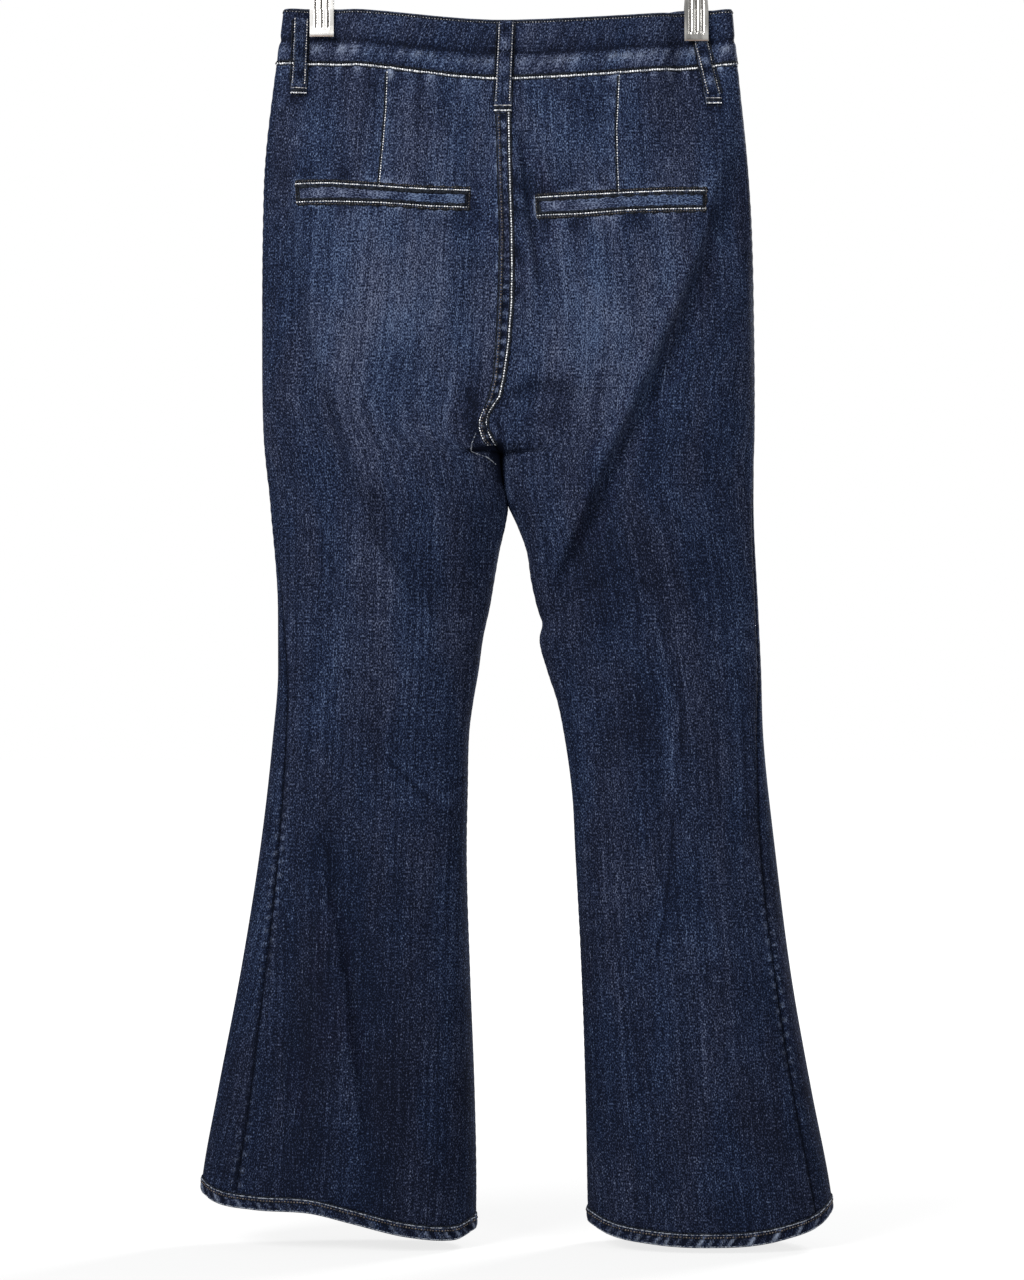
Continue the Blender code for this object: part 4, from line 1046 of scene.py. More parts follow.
def below_waist(face, steps=40):
    """(x, drop) places right across a face, just below the waist seam."""
    left = point(LEFT, face, 0.0, np.linspace(SEAM_STARTS, 1, steps))
    right = point(RIGHT, face, 0.0, np.linspace(1, SEAM_STARTS, steps))[1:]
    both = np.concatenate([left, right])
    return list(zip(both[:, 0], drop_of(both) + SEAM_BELOW))


def all_puckers():
    """Puckers beside the sewing, by face: the line, the way that they lie from it (1 its left, -1
    its right), their reach, pitch and height, how much they are faded (below zero a painted shade,
    beside the seat seam and round the pockets), and a seed."""
    rows = {BACK: [], FRONT: []}
    for face in rows:
        line = below_waist(face)
        rows[face].append((line, -1, 8.5, 15.0, 0.6, 0.30, 1.0 + face))
        rows[face].append((line, -1, 17.0, 41.0, 0.7, 0.12, 4.0 + face))
    rows[BACK] += [
        (DARTS["dart_left"], 1, 9.0, 21.0, 0.8, 0.40, 2.0),
        (DARTS["dart_right"], -1, 9.0, 23.0, 0.8, 0.38, 6.0),
        # Painted shade beside the seat seam's strip.
        (SEAT_ROW, 1, 7.0, 40.0, 0.2, -0.40, 3.0),
        (SEAT_ROW_INNER, -1, 2.8, 26.0, 0.3, 0.50, 7.0),
    ]
    for way, outline in zip((-1, 1), WELT_FRAMES.values()):
        rows[BACK] += [
            (closed(outline), way, 3.4, 47.0, 0.3, 0.50, 3.0 + way),
            (closed(outline), way, 7.0, 17.0, 0.4, 0.10, 5.0 + way),
            # Painted shade beyond the pocket's puckers.
            (closed(outline), way, 14.0, 43.0, 1.0, -0.30, 8.0 + way),
        ]
    return rows


PUCKERS = all_puckers()
PUCKER_EDGE = 1.2  # half the width over which a pucker starts beside its line
FADED_LOW, FADED_MEAN = -0.45, 0.25  # the troughs between puckers are darker, but only so much


def puckered(face, x, drop):
    """Height and fading of the puckers at x and drop, with painted shade where a row's fading is
    below zero.
    """
    height, faded = np.zeros((2, *x.shape))
    for line, way, reach, pitch, top, lighter, seed in PUCKERS[face]:
        signed, along, _ = beside(x, drop, line)
        off = signed * way
        near = bell(off, reach) * ease((off + PUCKER_EDGE) / PUCKER_EDGE / 2)
        wave = ripple(along, pitch, seed)
        height += top * wave * near
        faded += lighter * (FADED_MEAN + np.clip(wave, FADED_LOW, 1)) * near
    return height, faded


# ---------------------------------------------------------------- the cloth pieces
# The solids that stand for one cut panel, by side.
PANEL_PARTS = {LEFT: ("upper", "middle", "lower"), RIGHT: ("upper", "lower")}
BACK_COLUMNS, FRONT_COLUMNS = 96, 72
PANEL_ROWS = np.concatenate(
    [
        np.linspace(-0.03, 0.86, 121),
        np.linspace(0.86, 1.12, 62)[1:],
        np.linspace(1.12, 2 - HEM_SHARE, 232)[1:],
    ]
)
GROOVE = 1.9  # half width of the grooves at a panel's seams
OUTER_GROOVE, INNER_GROOVE = -1.0, -0.9
ALLOWANCE, ALLOWANCE_EDGE, ALLOWANCE_START = 11, 3, 2.5  # pressed open beside a side seam
ALLOWANCE_HEIGHT = 0.45
OUTER_PUCKER, INNER_PUCKER = (0.30, 11.5, 7.5), (0.24, 10.0, 6.5)  # height, pitch and reach
FLECKS_AT, FLECKS_WIDTH = 3.4, 2.8  # from a side seam
FLECKS_FROM, FLECKS_FADE = 560, 200  # stronger down the leg
FLECKS_WASH, FLECKS_WASH_LOW, FLECKS_WORN = 0.10, 0.26, 0.42
# Painted shade in the side seams' grooves and beside the back loops.
SEAM_SHADE, BESIDE_LOOPS = -0.34, -0.20
PUCKERS_WORN_FROM, PUCKERS_WORN = 0.16, 1.7
SIDE_WEAVE, FACE_WEAVE = 300, 900  # each panel is cut from another place in the cloth


def panel(side, face, grid, normals):
    """One cut panel, with the grooves and puckers at its seams."""
    cut = slice(0, BACK_COLUMNS) if face == BACK else slice(BACK_COLUMNS - 1, None)
    patch, ways = grid[:, cut], normals[:, cut]
    along = along_rows(patch)
    x, drop = patch[..., 0], drop_of(patch)
    width = along[:, -1:]
    inner = along if face == BACK else width - along
    outer = width - inner
    seed = 3.1 * side + 1.7 * face

    height = OUTER_GROOVE * bell(outer, GROOVE) + INNER_GROOVE * bell(inner, GROOVE)
    if face == BACK:
        pressed = ease((ALLOWANCE - outer) / ALLOWANCE_EDGE) * ease(outer / ALLOWANCE_START)
        height += ALLOWANCE_HEIGHT * pressed
    for (top, pitch, reach), off, turn in ((OUTER_PUCKER, outer, 0), (INNER_PUCKER, inner, 4)):
        height += top * ripple(drop, pitch, seed + turn) * bell(off, reach)
    tucked, lighter = puckered(face, x, drop)
    patch = patch + ways * (height + tucked)[..., None]

    weave = np.stack([along - width / 2 + side * SIDE_WEAVE + face * FACE_WEAVE, drop], axis=2)
    # Fading down the garment, with the fading and painted light and shade of folds, creases and
    # areas.
    wash_and_shade = curve(drop, WASH, "level") + all_on(face, x, drop, FOLD_FADING_AND_SHADE, CREASE_FADING_AND_SHADE, AREA_FADING_AND_SHADE)
    # The puckers' fading and painted shade, and painted shade in the side seam's groove.
    wash_and_shade = wash_and_shade + lighter + SEAM_SHADE * bell(outer, GROOVE)
    if face == BACK:
        # Painted shade beside the back loops.
        wash_and_shade = wash_and_shade + BESIDE_LOOPS * painted_shade_by_loops(x, drop)
    flecks = np.clip(ripple(drop, OUTER_PUCKER[1], seed), 0, 1)
    flecks = flecks * bell(outer - FLECKS_AT, FLECKS_WIDTH)
    low = ease((drop - FLECKS_FROM) / FLECKS_FADE)
    wash_and_shade = wash_and_shade + (FLECKS_WASH + FLECKS_WASH_LOW * low) * flecks
    worn = np.clip(lighter - PUCKERS_WORN_FROM, 0, 1) * PUCKERS_WORN + FLECKS_WORN * low * flecks

    name = f"{face_name(face)}_{side_name(side)}"
    made = cloth(name + "_cloth", patch, ways, weave, wash_and_shade, worn, PANEL_WALL)
    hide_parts(*(f"{name}_{part}" for part in PANEL_PARTS[side]))
    return made


# Across the band, from 0 at its top edge to 1 at its seam: place, half width and height of its
# trough and the bulge under it, of its rolled edges, and of the changes of its tone: painted shade
# in the trough and near the seam, and a lighter bulge.
BAND_ROWS = np.linspace(-1, -0.003, 30)  # q
BAND_COLUMNS = (110, 90)  # of its back and its front
BAND_FORM = ((0.57, 0.060, -2.1), (0.78, 0.15, 1.1))
BAND_EDGES = ((0, 0.045, -0.7), (1, 0.045, -0.7))
BAND_FADING_AND_SHADE = ((0.78, 0.13, 0.17), (0.575, 0.045, -0.34), (0.50, 0.12, -0.10), (1, 0.06, -0.12))
BAND_UNEVEN, BAND_UNEVEN_LENGTH, BAND_UNEVEN_FROM = 0.25, 61, 0.8
BAND_LEVEL, BAND_LEVEL_CHANGE, BAND_LEVEL_LENGTH = 0.57, 0.05, 90
# Painted shade towards the band's sides and beside the back loops.
BAND_SIDES, BAND_SIDES_SHADE, BAND_BESIDE_LOOPS = 150, -0.05, -0.22
BAND_WEAVE = (40, 3000)
# Waves along it, by pitch and seed, and where across it they show in its form, wash and rubbing.
LOW_WAVE, HIGH_WAVE, SHORT_WAVE, LONG_WAVE = (13, 1.0), (21, 3.0), (14, 1.0), (47, 5.0)
BAND_LOW, BAND_HIGH = (0.88, 0.20, 0.48), (0.15, 0.18, 0.30)
MOTTLED = (0.22, 0.30, 0.45)  # mean, and how much of the short and of the long wave
MOTTLED_WASH, HIGH_WASH = (0.76, 0.16, 0.30), (0.20, 0.16, 0.08)
EDGE_WORN, MOTTLED_WORN, MOTTLED_WORN_FROM = (0, 0.05, 0.35), (0.72, 0.09, 0.55), -0.15


def bells(at, *rows):
    return sum(height * bell(at - place, half_width) for place, half_width, height in rows)


def waistband():
    grids = {side: side_grid(side, BAND_ROWS, *BAND_COLUMNS) for side in (LEFT, RIGHT)}
    normals = {side: outward(grids[side], BAND_ROWS, side) for side in grids}
    grid, ways = (
        np.concatenate([both[LEFT][:, ::-1], both[RIGHT][:, 1:]], axis=1)
        for both in (grids, normals)
    )
    along, drop = along_rows(grid), drop_of(grid)
    v = (BAND_ROWS[:, None] + 1) * np.ones(along.shape)
    low, high, short, long = (
        ripple(along, *wave) for wave in (LOW_WAVE, HIGH_WAVE, SHORT_WAVE, LONG_WAVE)
    )

    uneven = 1 - BAND_UNEVEN + BAND_UNEVEN * np.sin(along / BAND_UNEVEN_LENGTH + BAND_UNEVEN_FROM)
    height = BAND_PROUD + uneven * bells(v, *BAND_FORM) + bells(v, *BAND_EDGES)
    height += low * bells(v, BAND_LOW) + high * bells(v, BAND_HIGH)
    puffed = grid + ways * height[..., None]

    mottled = MOTTLED[0] + MOTTLED[1] * short + MOTTLED[2] * long
    wash_and_shade = BAND_LEVEL + BAND_LEVEL_CHANGE * np.sin(along / BAND_LEVEL_LENGTH)
    # Painted shade in the band's trough and near its seam, a lighter bulge, and painted shade at
    # the sides.
    wash_and_shade += bells(v, *BAND_FADING_AND_SHADE) + BAND_SIDES_SHADE * (np.abs(grid[..., 0]) > BAND_SIDES)
    wash_and_shade += mottled * bells(v, MOTTLED_WASH) + high * bells(v, HIGH_WASH)
    # Painted shade beside the back loops.
    wash_and_shade += BAND_BESIDE_LOOPS * painted_shade_by_loops(grid[..., 0], drop) * (puffed[..., 1] < 0)
    rubbed = np.clip(mottled - MOTTLED_WORN_FROM, 0, 1)
    worn = bells(v, EDGE_WORN) + rubbed * bells(v, MOTTLED_WORN)
    weave = np.stack([along + BAND_WEAVE[0], drop + BAND_WEAVE[1]], axis=2)
    made = cloth("waistband_cloth", puffed, ways, weave, wash_and_shade, worn, BAND_WALL)
    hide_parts("waistband")
    return made


HEM_LAP = 0.001  # how much higher a hem starts than its panel ends, in q
HEM_SLANT = 9  # how far the waves of the rope lean
HEM_WAVES = ((0.65, 9.5, 0), (0.5, 23, 3))  # height, pitch and turn of the seed
HEM_EDGES = ((0, 0.07, -0.9), (1, 0.09, -1.0))  # place, half width and height, as for the band
ROPE_HEIGHT, ROPE_AT_TOP, ROPE_WIDER = 0.95, 0.30, 1.15
HEM_LEVEL, HEM_LEVEL_WAVES, HEM_LEVEL_RIM, HEM_WAVES_FROM = 0.36, 0.52, 0.04, 0.15
HEM_WEAVE, HEM_WEAVE_SIDE = 5000, 700
HEM_RIM_WORN, HEM_TOPS_WORN, HEM_WAVES_WORN = (1, 0.16, 0.55), (0.60, 0.32, 0.90), 0.6


def hem(side):
    """A hem, roped by its own sewing, its waves and rim rubbed."""
    rows = np.linspace(2 - HEM_SHARE - HEM_LAP, 2, 13)
    grid = side_grid(side, rows, 140, 120)
    ways = outward(grid, rows, side)
    along = along_rows(grid)
    v = np.linspace(0, 1, len(rows))[:, None]
    slant = along + HEM_SLANT * v
    wave = sum(top * ripple(slant, pitch, 2.0 + side + turn) for top, pitch, turn in HEM_WAVES)
    swell = ROPE_AT_TOP + (1 - ROPE_AT_TOP) * np.sin(np.pi * np.clip(v * ROPE_WIDER, 0, 1))
    height = HEM_PROUD + ROPE_HEIGHT * wave * swell + bells(v, *HEM_EDGES)
    grid = grid + ways * height[..., None]
    weave = np.stack([along + HEM_WEAVE + HEM_WEAVE_SIDE * side, drop_of(grid)], axis=2)
    low = np.sin(np.pi * np.clip(HEM_WAVES_FROM + (1 - HEM_WAVES_FROM) * v, 0, 1))
    wash_and_shade = HEM_LEVEL + HEM_LEVEL_WAVES * wave * low + HEM_LEVEL_RIM * v
    worn = bells(v, HEM_RIM_WORN) * HEM_WAVES_WORN * (1 + wave)
    worn = np.clip(worn + np.clip(wave, 0, 1) * bells(v, HEM_TOPS_WORN), 0, 1)
    made = cloth(f"hem_{side_name(side)}_cloth", grid, ways, weave, wash_and_shade, worn, HEM_WALL)
    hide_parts("hem_" + side_name(side))
    return made


pieces = {}
for side in (LEFT, RIGHT):
    grid = side_grid(side, PANEL_ROWS, BACK_COLUMNS, FRONT_COLUMNS)
    normals = outward(grid, PANEL_ROWS, side)
    for face in (BACK, FRONT):
        pieces[f"{face_name(face)}_{side_name(side)}"] = panel(side, face, grid, normals)
    pieces["hem_" + side_name(side)] = hem(side)
pieces["waistband"] = waistband()
under = tree_of(pieces.values())

# The flat cut of each piece, in metres: width, length and area.
CUTS = {
    "back_left": (0.30, 1.04, 0.232),
    "back_right": (0.30, 1.05, 0.238),
    "front_left": (0.29, 1.03, 0.227),
    "front_right": (0.29, 1.04, 0.227),
    "waistband": (0.83, 0.050, 0.0400),
    "hem_left": (0.566, 0.0125, 0.0070),
    "hem_right": (0.518, 0.0125, 0.0064),
}
for name, made in pieces.items():
    width, length, area = CUTS[name]
    ridden(made)


# ---------------------------------------------------------------- laid pieces
TACK = 13.0  # length of a loop's doubled lower end
# A loop's height over the cloth, what its free part adds to its lift, and how full the arch is.
LOOP_LAID, LOOP_FREE, LOOP_FULL = 1.6, 0.9, 0.7
LOOP_BOX, LOOP_TACKED = (1.1, 2.5), (-3.8, 1.5, -1.2)  # from its lower end
LOOP_MIDDLE, LOOP_ROLLED = (0.15, 0.3), (0.9, 0.16)  # height, and width as a share of the loop's
LOOP_TOP, LOOP_END = (1.5, -0.8), (1.4, -0.9)  # half width and height
# How much of its half width a loop has, at each share of its length.
FLARE = (
    (0.92, 0.0), (0.90, 0.3), (0.94, 0.62), (1.0, 0.80), (1.10, 0.88), (1.04, 0.93), (1.08, 1.0),
)


def loop(name, face, top, bottom, width, free_from, lift):
    """A folded strip: tacked at its top, free over the band, doubled in a box at its lower end."""
    top, bottom = np.array(top, float), np.array(bottom, float)
    whole = np.linalg.norm(bottom - top)
    left, right = (
        [top + (bottom - top) * down + (way * width / 2 * much, 0) for much, down in FLARE]
        for way in (-1, 1)
    )

    def height(at, across):
        edge = min(across, 1 - across)
        drop = top[1] + (bottom[1] - top[1]) * at / whole
        below = drop - bottom[1]
        free = np.clip((drop - free_from) / (bottom[1] - TACK - free_from), 0, 1)
        arch = LOOP_LAID + (lift + LOOP_FREE) * math.sin(math.pi * free) ** LOOP_FULL
        box = step(below + TACK, *LOOP_BOX) + bells(below, LOOP_TACKED)
        rolled = step(edge, *LOOP_MIDDLE) - step(LOOP_ROLLED[1] - edge, *LOOP_ROLLED)
        return arch + box + rolled + bells(at, (0, *LOOP_TOP), (whole, *LOOP_END))

    made = laid_strip(
        name + "_cloth", face, left, right, height, level=0.57, wall=1.2,
        columns=13, pitch=1.3, ladder=(19, 0.34),
    )
    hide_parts(name)
    return ridden(made)


for row in LOOPS:
    loop(*row)

WELT_LAID, WELT_LIP, WELT_TURNED = 0.5, (1.2, 0.14), (1.1, 0.12)
WELT_GROOVE, WELT_RIPPLE = (0.36, 0.07, -0.5), (0.22, 23, 2.0)
# Corners of each pocket's lip: inner and outer top, then outer and inner low.
WELTS = {
    "welt_left": ((-38, 164), (-182.5, 157.5), (-181, 171.5), (-38.5, 178)),
    "welt_right": ((27, 170.5), (168.5, 164.5), (168, 177.5), (27.5, 184.5)),
}


def welt(name, inner_top, outer_top, outer_low, inner_low):
    """The folded lip of a pocket: its upper edge stands free over a slit of painted shadow."""

    def height(at, across):
        turned = step(across - 1 + WELT_TURNED[1], *WELT_TURNED)
        lip = WELT_LAID + step(across, *WELT_LIP) - turned + bells(across, WELT_GROOVE)
        return lip + WELT_RIPPLE[0] * ripple(at, *WELT_RIPPLE[1:])

    top, low = (inner_top, outer_top), (inner_low, outer_low)
    made = laid_strip(
        name + "_cloth", BACK, top, low, height, level=0.80, wall=1.0, ladder=(31, 0.20)
    )
    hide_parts(name)
    return ridden(made)


for name, corners in WELTS.items():
    welt(name, *corners)

FLY_WIDTH, FLY_LENGTH, FLY_LAP = 38.0, 152.0, 4.0
FLY_TOP = FRONT_SEAM_DROP + 1.5
FLY_LAID, FLY_EDGE, FLY_TURNED = 0.3, (1.0, 0.1), (0.6, 0.07)
FLY_BENDS, FLY_BEND = 0.72, 0.97  # share of its length where it bends, and how far round it goes


def fly_line(inset):
    """The fly's curved outer line, so far in from its edge."""
    share = np.linspace(0, 1, 24)
    bend = np.clip((share - FLY_BENDS) / (1 - FLY_BENDS), 0, 1)
    reach = (FLY_WIDTH - inset) * np.sqrt(1 - (FLY_BEND * bend) ** 2)
    return np.stack([-reach, FLY_TOP + (FLY_LENGTH - inset) * share], axis=1)


def fly():
    """The folded edge over the front closing."""

    def height(at, across):
        turned = step(across - 1 + FLY_TURNED[1], *FLY_TURNED)
        return FLY_LAID + step(across, *FLY_EDGE) - turned

    edge = ((FLY_LAP, FLY_TOP), (FLY_LAP, FLY_TOP + FLY_LENGTH))
    made = laid_strip(
        "fly_cloth", FRONT, edge, fly_line(0), height, level=0.58, wall=1.0, columns=15
    )
    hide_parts("fly")
    return ridden(made)


SEAT_LAID, SEAT_EDGE = -0.25, (1.25, 0.16)
SEAT_LADDER, SEAT_PUCKER = (10.5, 9.0), 1.1  # pitch and seed, and height to the way in


def seat_seam():
    """The felled centre back seam: a raised strip with ladder puckers."""

    def height(at, across):
        edge = min(across, 1 - across)
        ladder = SEAT_PUCKER * ripple(at, *SEAT_LADDER) * edge
        return SEAT_LAID + step(edge, *SEAT_EDGE) + ladder

    made = laid_strip(
        "seat_seam", BACK, SEAT_ROW_INNER, SEAT_ROW, height, level=0.50, wall=0,
        columns=11, pitch=1.5, ladder=(10.5, 0.52),
    )
    return ridden(made)


fly()
seat_seam()
over = tree_of(o for o in bpy.data.objects if o.name.endswith("_cloth") or o.name == "seat_seam")


# ---------------------------------------------------------------- the sewing
# Each piece, the cloth that it follows, what makes it and its finish.
SEWING = (
    ("waist_cord", under, stitches, "rubbed_edge"),
    ("waist_teeth", under, stitches, "dark_thread_and_shadow"),
    # The grooves' dark lines are painted shadow.
    ("waist_grooves", under, lines, "dark_thread_and_shadow"),
    ("faded_edges", over, lines, "faded_edge"),
    ("dark_grooves", over, lines, "dark_thread_and_shadow"),
    ("brown_stitches", over, stitches, "brown_thread"),
    ("pale_stitches", over, stitches, "pale_thread"),
    ("bright_stitches", over, stitches, "rubbed_edge"),
    ("dark_stitches", over, stitches, "dark_thread_and_shadow"),
)
sewn = {piece: [] for piece, *_ in SEWING}


def sew(face, *rows):
    """Adds rows to the pieces: a piece and a line each, then for edges and grooves a radius and a
    height, for stitches a pitch, a length, a radius and a height."""
    for piece, *row in rows:
        sewn[piece].append((face, *row))


def shifted(line, x, drop):
    return [(a + x, b + drop) for a, b in line]


WAIST_ROUND = ((LEFT, BACK, 1), (RIGHT, BACK, -1), (RIGHT, FRONT, 1), (LEFT, FRONT, -1))


def around(q, faces, below, x=0.0, steps=60):
    """(x, y, z) places all round the waist or a leg along a row of the form, moved down."""
    across = np.linspace(0, 1, steps)
    rows = [point(*row, q, across[::way])[min(k, 1):] for k, (*row, way) in enumerate(faces)]
    return np.concatenate(rows) + np.array((x, 0.0, -below))


sew(
    BACK,  # these go round both faces
    ("waist_cord", around(0.0, WAIST_ROUND, 0.6), 2.15, 2.3, 1.1, 0.35),
    ("waist_teeth", around(0.0, WAIST_ROUND, -0.7), 2.15, 1.3, 0.75, 1.35),
    # Dark lines of painted shadow beside the waist seam's ridge.
    ("waist_grooves", around(0.0, WAIST_ROUND, -1.5), 0.75, 0.4),
    ("waist_grooves", around(0.0, WAIST_ROUND, 2.3), 0.45, 0.0),
    ("dark_stitches", around(0.0, WAIST_ROUND, -2.4), 2.6, 1.7, 0.5, 0.2),
    ("dark_stitches", around(-1.0, WAIST_ROUND, 3.0), 2.6, 1.9, 0.75, 0.25),
    # A dark line of painted shadow under the band's top edge.
    ("dark_grooves", around(-1.0, WAIST_ROUND, 1.6), 0.5, 0.1),
    ("pale_stitches", around(-1.0, WAIST_ROUND, 3.0, 1.3), 2.6, 0.9, 0.35, 0.35),
)
for outline in WELT_FRAMES.values():
    half = len(outline) // 2
    upper, lower = outline[:half], outline[half:]
    sew(
        BACK,
        # Dark lines of painted shadow round each frame, in the slit under its upper edge and under
        # the lip.
        ("dark_grooves", closed(outline), 1.7, -0.85),
        ("brown_stitches", closed(outline), 2.5, 1.2, 0.40, 1.2),
        ("bright_stitches", shifted(upper, 0, 2.2), 2.0, 2.2, 0.62, 0.5),
        ("bright_stitches", shifted(lower, 0, -2.2), 2.3, 2.1, 0.62, 0.5),
        ("dark_grooves", shifted(upper, 0, 4.5), 2.0, -1.0),
        ("dark_grooves", shifted(lower, 0, -4.1), 1.4, -0.5),
    )
    middle = sum(x for x, _ in outline) / len(outline)
    for top, low in ((upper[0], lower[-1]), (upper[-1], lower[0])):
        inward = 2.2 if top[0] < middle else -2.2
        end = ((top[0] + inward, top[1] + 3), (low[0] + inward, low[1] - 3))
        # Dark lines of painted shadow at the ends of the pocket.
        sew(BACK, ("dark_grooves", end, 1.4, -0.4))
for line in DARTS.values():
    sew(
        BACK,
        ("bright_stitches", line, 2.4, 1.9, 0.50, 0.35),
        # A dark line of painted shadow beside the dart.
        ("dark_grooves", shifted(line, -1.3, 0), 0.8, 0.1),
    )
sew(
    BACK,
    ("bright_stitches", SEAT_ROW, 2.3, 2.2, 0.74, 0.5),
    ("bright_stitches", SEAT_ROW_CURL, 2.2, 2.2, 0.60, 0.5),
    ("brown_stitches", shifted(SEAT_ROW_INNER, 2.0, 0), 2.8, 1.9, 0.6, 0.25),
    # Dark lines of painted shadow along both edges of the seat seam's strip.
    ("dark_grooves", shifted(SEAT_ROW_INNER, 3.2, 0), 0.45, 0.1),
    ("dark_grooves", shifted(SEAT_ROW_INNER, -0.4, 0), 0.65, 0.15),
    ("dark_grooves", shifted(SEAT_ROW, -1.5, 0), 0.55, 0.1),
    ("dark_grooves", shifted(SEAT_ROW, 1.6, 0), 0.95, 0.2),
    ("faded_edges", TUCK_EDGE, 0.48, 0.2),
)
for _, face, top, bottom, width, _, _ in LOOPS:
    for way in (-1, 1):
        edge_x = way * width / 2 * FLARE[0][0]
        edge = ((top[0] + edge_x, top[1] + 1.5), (bottom[0] + edge_x, bottom[1] - 10))
        sew(
            face,
            # A dark line of painted shadow beside the loop's edge.
            ("dark_grooves", shifted(edge, way * 1.5, 0), 0.75, -0.2),
            ("pale_stitches", shifted(edge, way * -0.6, 0), 2.4, 1.9, 0.52, 0.25),
            ("dark_stitches", shifted(edge, way * -1.9, 0), 2.4, 1.6, 0.50, 0.15),
        )
    low = ((bottom[0] - width / 2, bottom[1]), (bottom[0] + width / 2, bottom[1]))
    sew(
        face,
        ("bright_stitches", shifted(low, 0, -1.0), 1.1, 1.3, 0.8, 0.3),
        ("pale_stitches", shifted(low, 0, -5.6), 1.1, 1.3, 0.5, 0.3),
        # Dark lines of painted shadow above the loop's tack and under its end.
        ("dark_grooves", shifted(low, 0, -3.2), 1.3, -0.1),
        ("dark_grooves", shifted(low, 0, 1.4), 0.6, -0.2),
    )
for side in (LEFT, RIGHT):
    leg = ((side, BACK, 1), (side, FRONT, -1))
    sew(
        BACK,  # round both faces again
        ("brown_stitches", around(2.0, leg, -8.9), 2.7, 1.7, 0.70, 0.4),
        # Dark lines of painted shadow under the hem's stitching and along its top edge.
        ("dark_grooves", around(2.0, leg, -8.1), 0.4, 0.0),
        ("faded_edges", around(2.0, leg, -0.9), 0.55, -0.1),
        ("faded_edges", around(2.0, leg, -11.0), 0.55, 0.15),
        ("dark_grooves", around(2.0, leg, -12.4), 0.6, 0.0),
    )
sew(
    FRONT,
    ("brown_stitches", fly_line(5.0), 3.0, 2.2, 0.6, 0.3),
    ("brown_stitches", fly_line(11.0), 3.0, 2.2, 0.6, 0.3),
    ("faded_edges", fly_line(0.6), 0.5, 0.1),
)
for piece, tree, make, finish in SEWING:
    ridden(make(piece, tree, sewn[piece], FINISHES[finish]))

# Painted shadow in the clips' pressed slots, as dark lines, and the dull lower edge of each jaw.
SLOT_AT, SLOT_RADIUS, SLOT_HEIGHT = (-5.4, 0.0, 5.4), 0.8, 0.35
SLOT_LOW, SLOT_TOP = 8.5, 40  # above the jaw's lower edge
LIP_ABOVE, LIP_RADIUS = 0.7, 0.6
CLIP_PITCH = 1.5  # between places along these lines
slots, lips = bmesh.new(), bmesh.new()
for side, face in ((LEFT, BACK), (LEFT, FRONT), (RIGHT, BACK), (RIGHT, FRONT)):
    jaw = tree_of([frame["nodes"][f"clip_{side_name(side)}_{face_name(face)}"]])
    x, low, half = CLIP_X[side], CLIP_DROP[side], CLIP_WIDTH / 2 - LIP_RADIUS
    for at in SLOT_AT:
        slot = ((x + at, low - SLOT_LOW), (x + at, low - SLOT_TOP))
        points, ways, _ = laid_line(jaw, face, slot, CLIP_PITCH, SLOT_HEIGHT)
        tube(slots, points, ways, SLOT_RADIUS)
    lip = ((x - half, low - LIP_ABOVE), (x + half, low - LIP_ABOVE))
    points, ways, _ = laid_line(jaw, face, lip, CLIP_PITCH, 0.0)
    tube(lips, points, ways, LIP_RADIUS)
ridden(object_of(slots, "clip_slots", FINISHES["slot_shadow"]))
ridden(object_of(lips, "clip_lips", FINISHES["dull_steel"]))

# ---------------------------------------------------------------- the metal, in the CAD's own nodes
for name, made in frame["nodes"].items():
    # The left clips take the steel painted lit, the right ones the steel painted shaded.
    clip = "steel_painted_lit" if name.startswith("clip_left") else "steel_painted_shaded"
    if name == "button" or name.startswith(("hanger", "clip")):
        for held in made.material_slots:
            held.material = FINISHES["aged_brass" if name == "button" else clip]

# ---------------------------------------------------------------- room, light and camera
scene = bpy.context.scene
scene.view_settings.view_transform = "Standard"
WHITE = (1, 1, 1, 1)
FLOOR_SIZE, FLOOR_BELOW = 12, 0.005  # metres
FLOOR_COLOUR = (0.055, 0.055, 0.055, 1)
# The floor's own light by its distance from the middle: from 0.785 at 0.45 m to 1.0 at 2.4 m.
FLOOR_GLOW = {"From Min": 0.45, "From Max": 2.4, "To Min": 0.785, "To Max": 1.0}

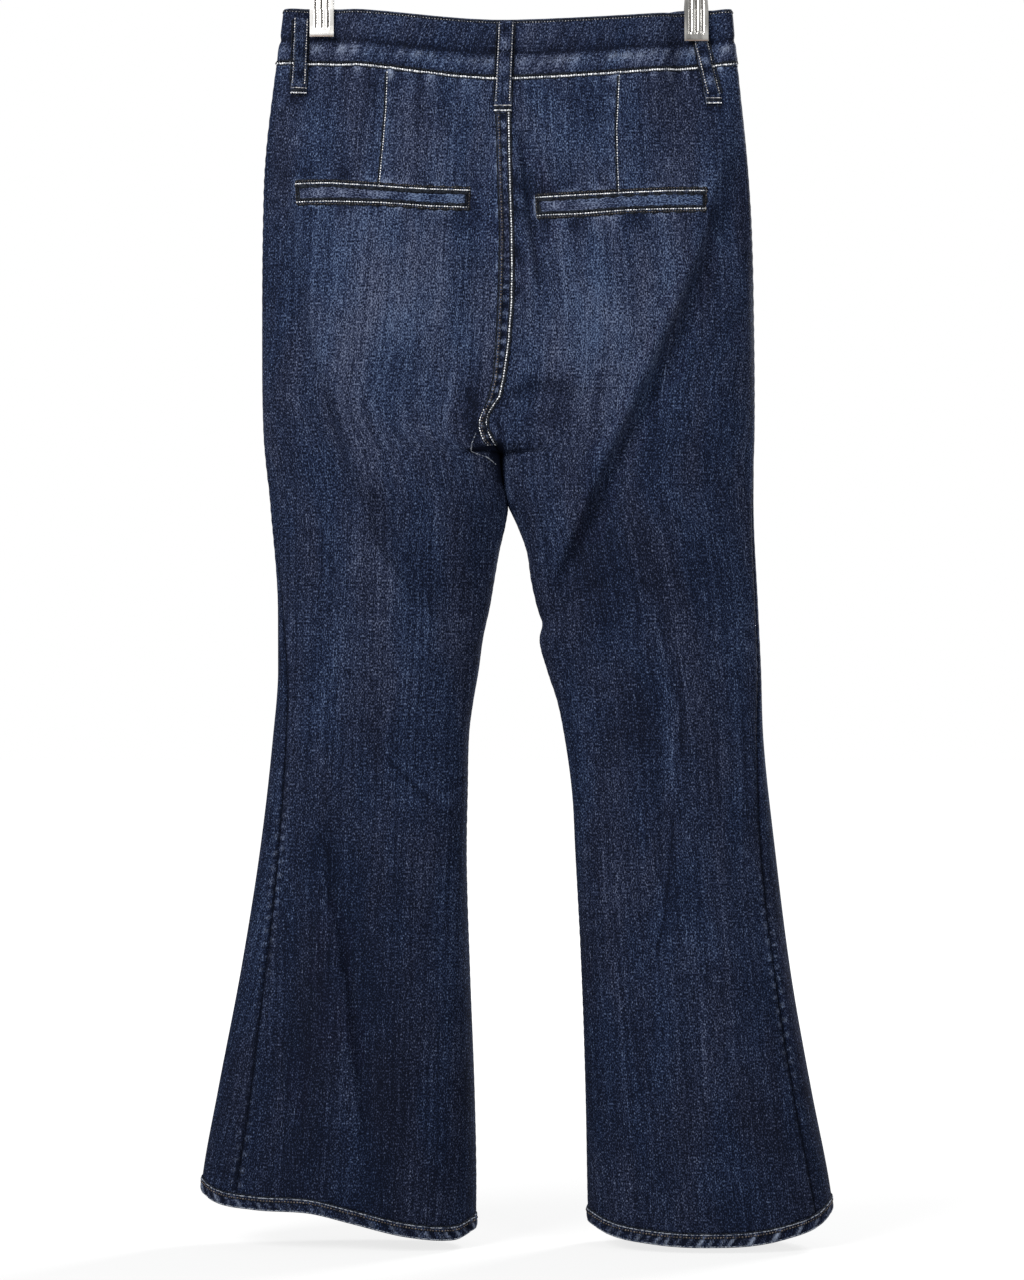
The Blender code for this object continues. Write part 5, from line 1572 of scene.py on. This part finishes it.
bm = bmesh.new()
bmesh.ops.create_grid(bm, x_segments=1, y_segments=1, size=FLOOR_SIZE)
floor_finish, floor_tree, floor_shader = blank("pale_floor")
floor_shader.inputs["Base Color"].default_value = FLOOR_COLOUR
floor_shader.inputs["Emission Color"].default_value = WHITE
away = node(floor_tree, "ShaderNodeVectorMath", operation="LENGTH")
floor_tree.links.new(node(floor_tree, "ShaderNodeTexCoord").outputs["Object"], away.inputs[0])
glow = node(floor_tree, "ShaderNodeMapRange")
floor_tree.links.new(away.outputs["Value"], glow.inputs["Value"])
for socket, value in FLOOR_GLOW.items():
    glow.inputs[socket].default_value = value
floor_tree.links.new(glow.outputs["Result"], floor_shader.inputs["Emission Strength"])
floor_shader.inputs["Roughness"].default_value = 1.0
floor_shader.inputs["Specular IOR Level"].default_value = 0.0
floor = object_of(bm, "floor", floor_finish)
floor.location = (0, 0, cad_box[0][2] - FLOOR_BELOW)

world = bpy.data.worlds.new("studio")
world.use_nodes = True
world.node_tree.nodes["Background"].inputs["Color"].default_value = WHITE
world.node_tree.nodes["Background"].inputs["Strength"].default_value = 1.0
scene.world = world

# Name, place, target, width and power.
LIGHTS = (
    ("key", (-1.9, -2.0, 0.9), (0, 0, -0.5), 1.5, 335),
    ("fill", (1.9, -2.3, -0.2), (0, 0, -0.7), 1.5, 120),
    ("rear", (1.9, 1.9, 0.9), (0, 0, -0.5), 0.9, 350),
)
for name, place, target, size, power in LIGHTS:
    lamp = bpy.data.lights.new(name, "AREA")
    lamp.shape, lamp.size, lamp.energy = "DISK", size, power
    made = bpy.data.objects.new(name, lamp)
    made.location = place
    made.rotation_euler = (Vector(target) - Vector(place)).to_track_quat("-Z", "Y").to_euler()
    scene.collection.objects.link(made)

camera = bpy.data.objects.new("camera", bpy.data.cameras.new("camera"))
camera.data.sensor_fit = "VERTICAL"
camera.data.sensor_height = 36.0
camera.data.lens = 95.9
camera.data.clip_end = 60
camera.location = (0.0026, -3.0, -0.6614)
camera.rotation_euler = (math.radians(90), 0, 0)
scene.collection.objects.link(camera)
scene.camera = camera
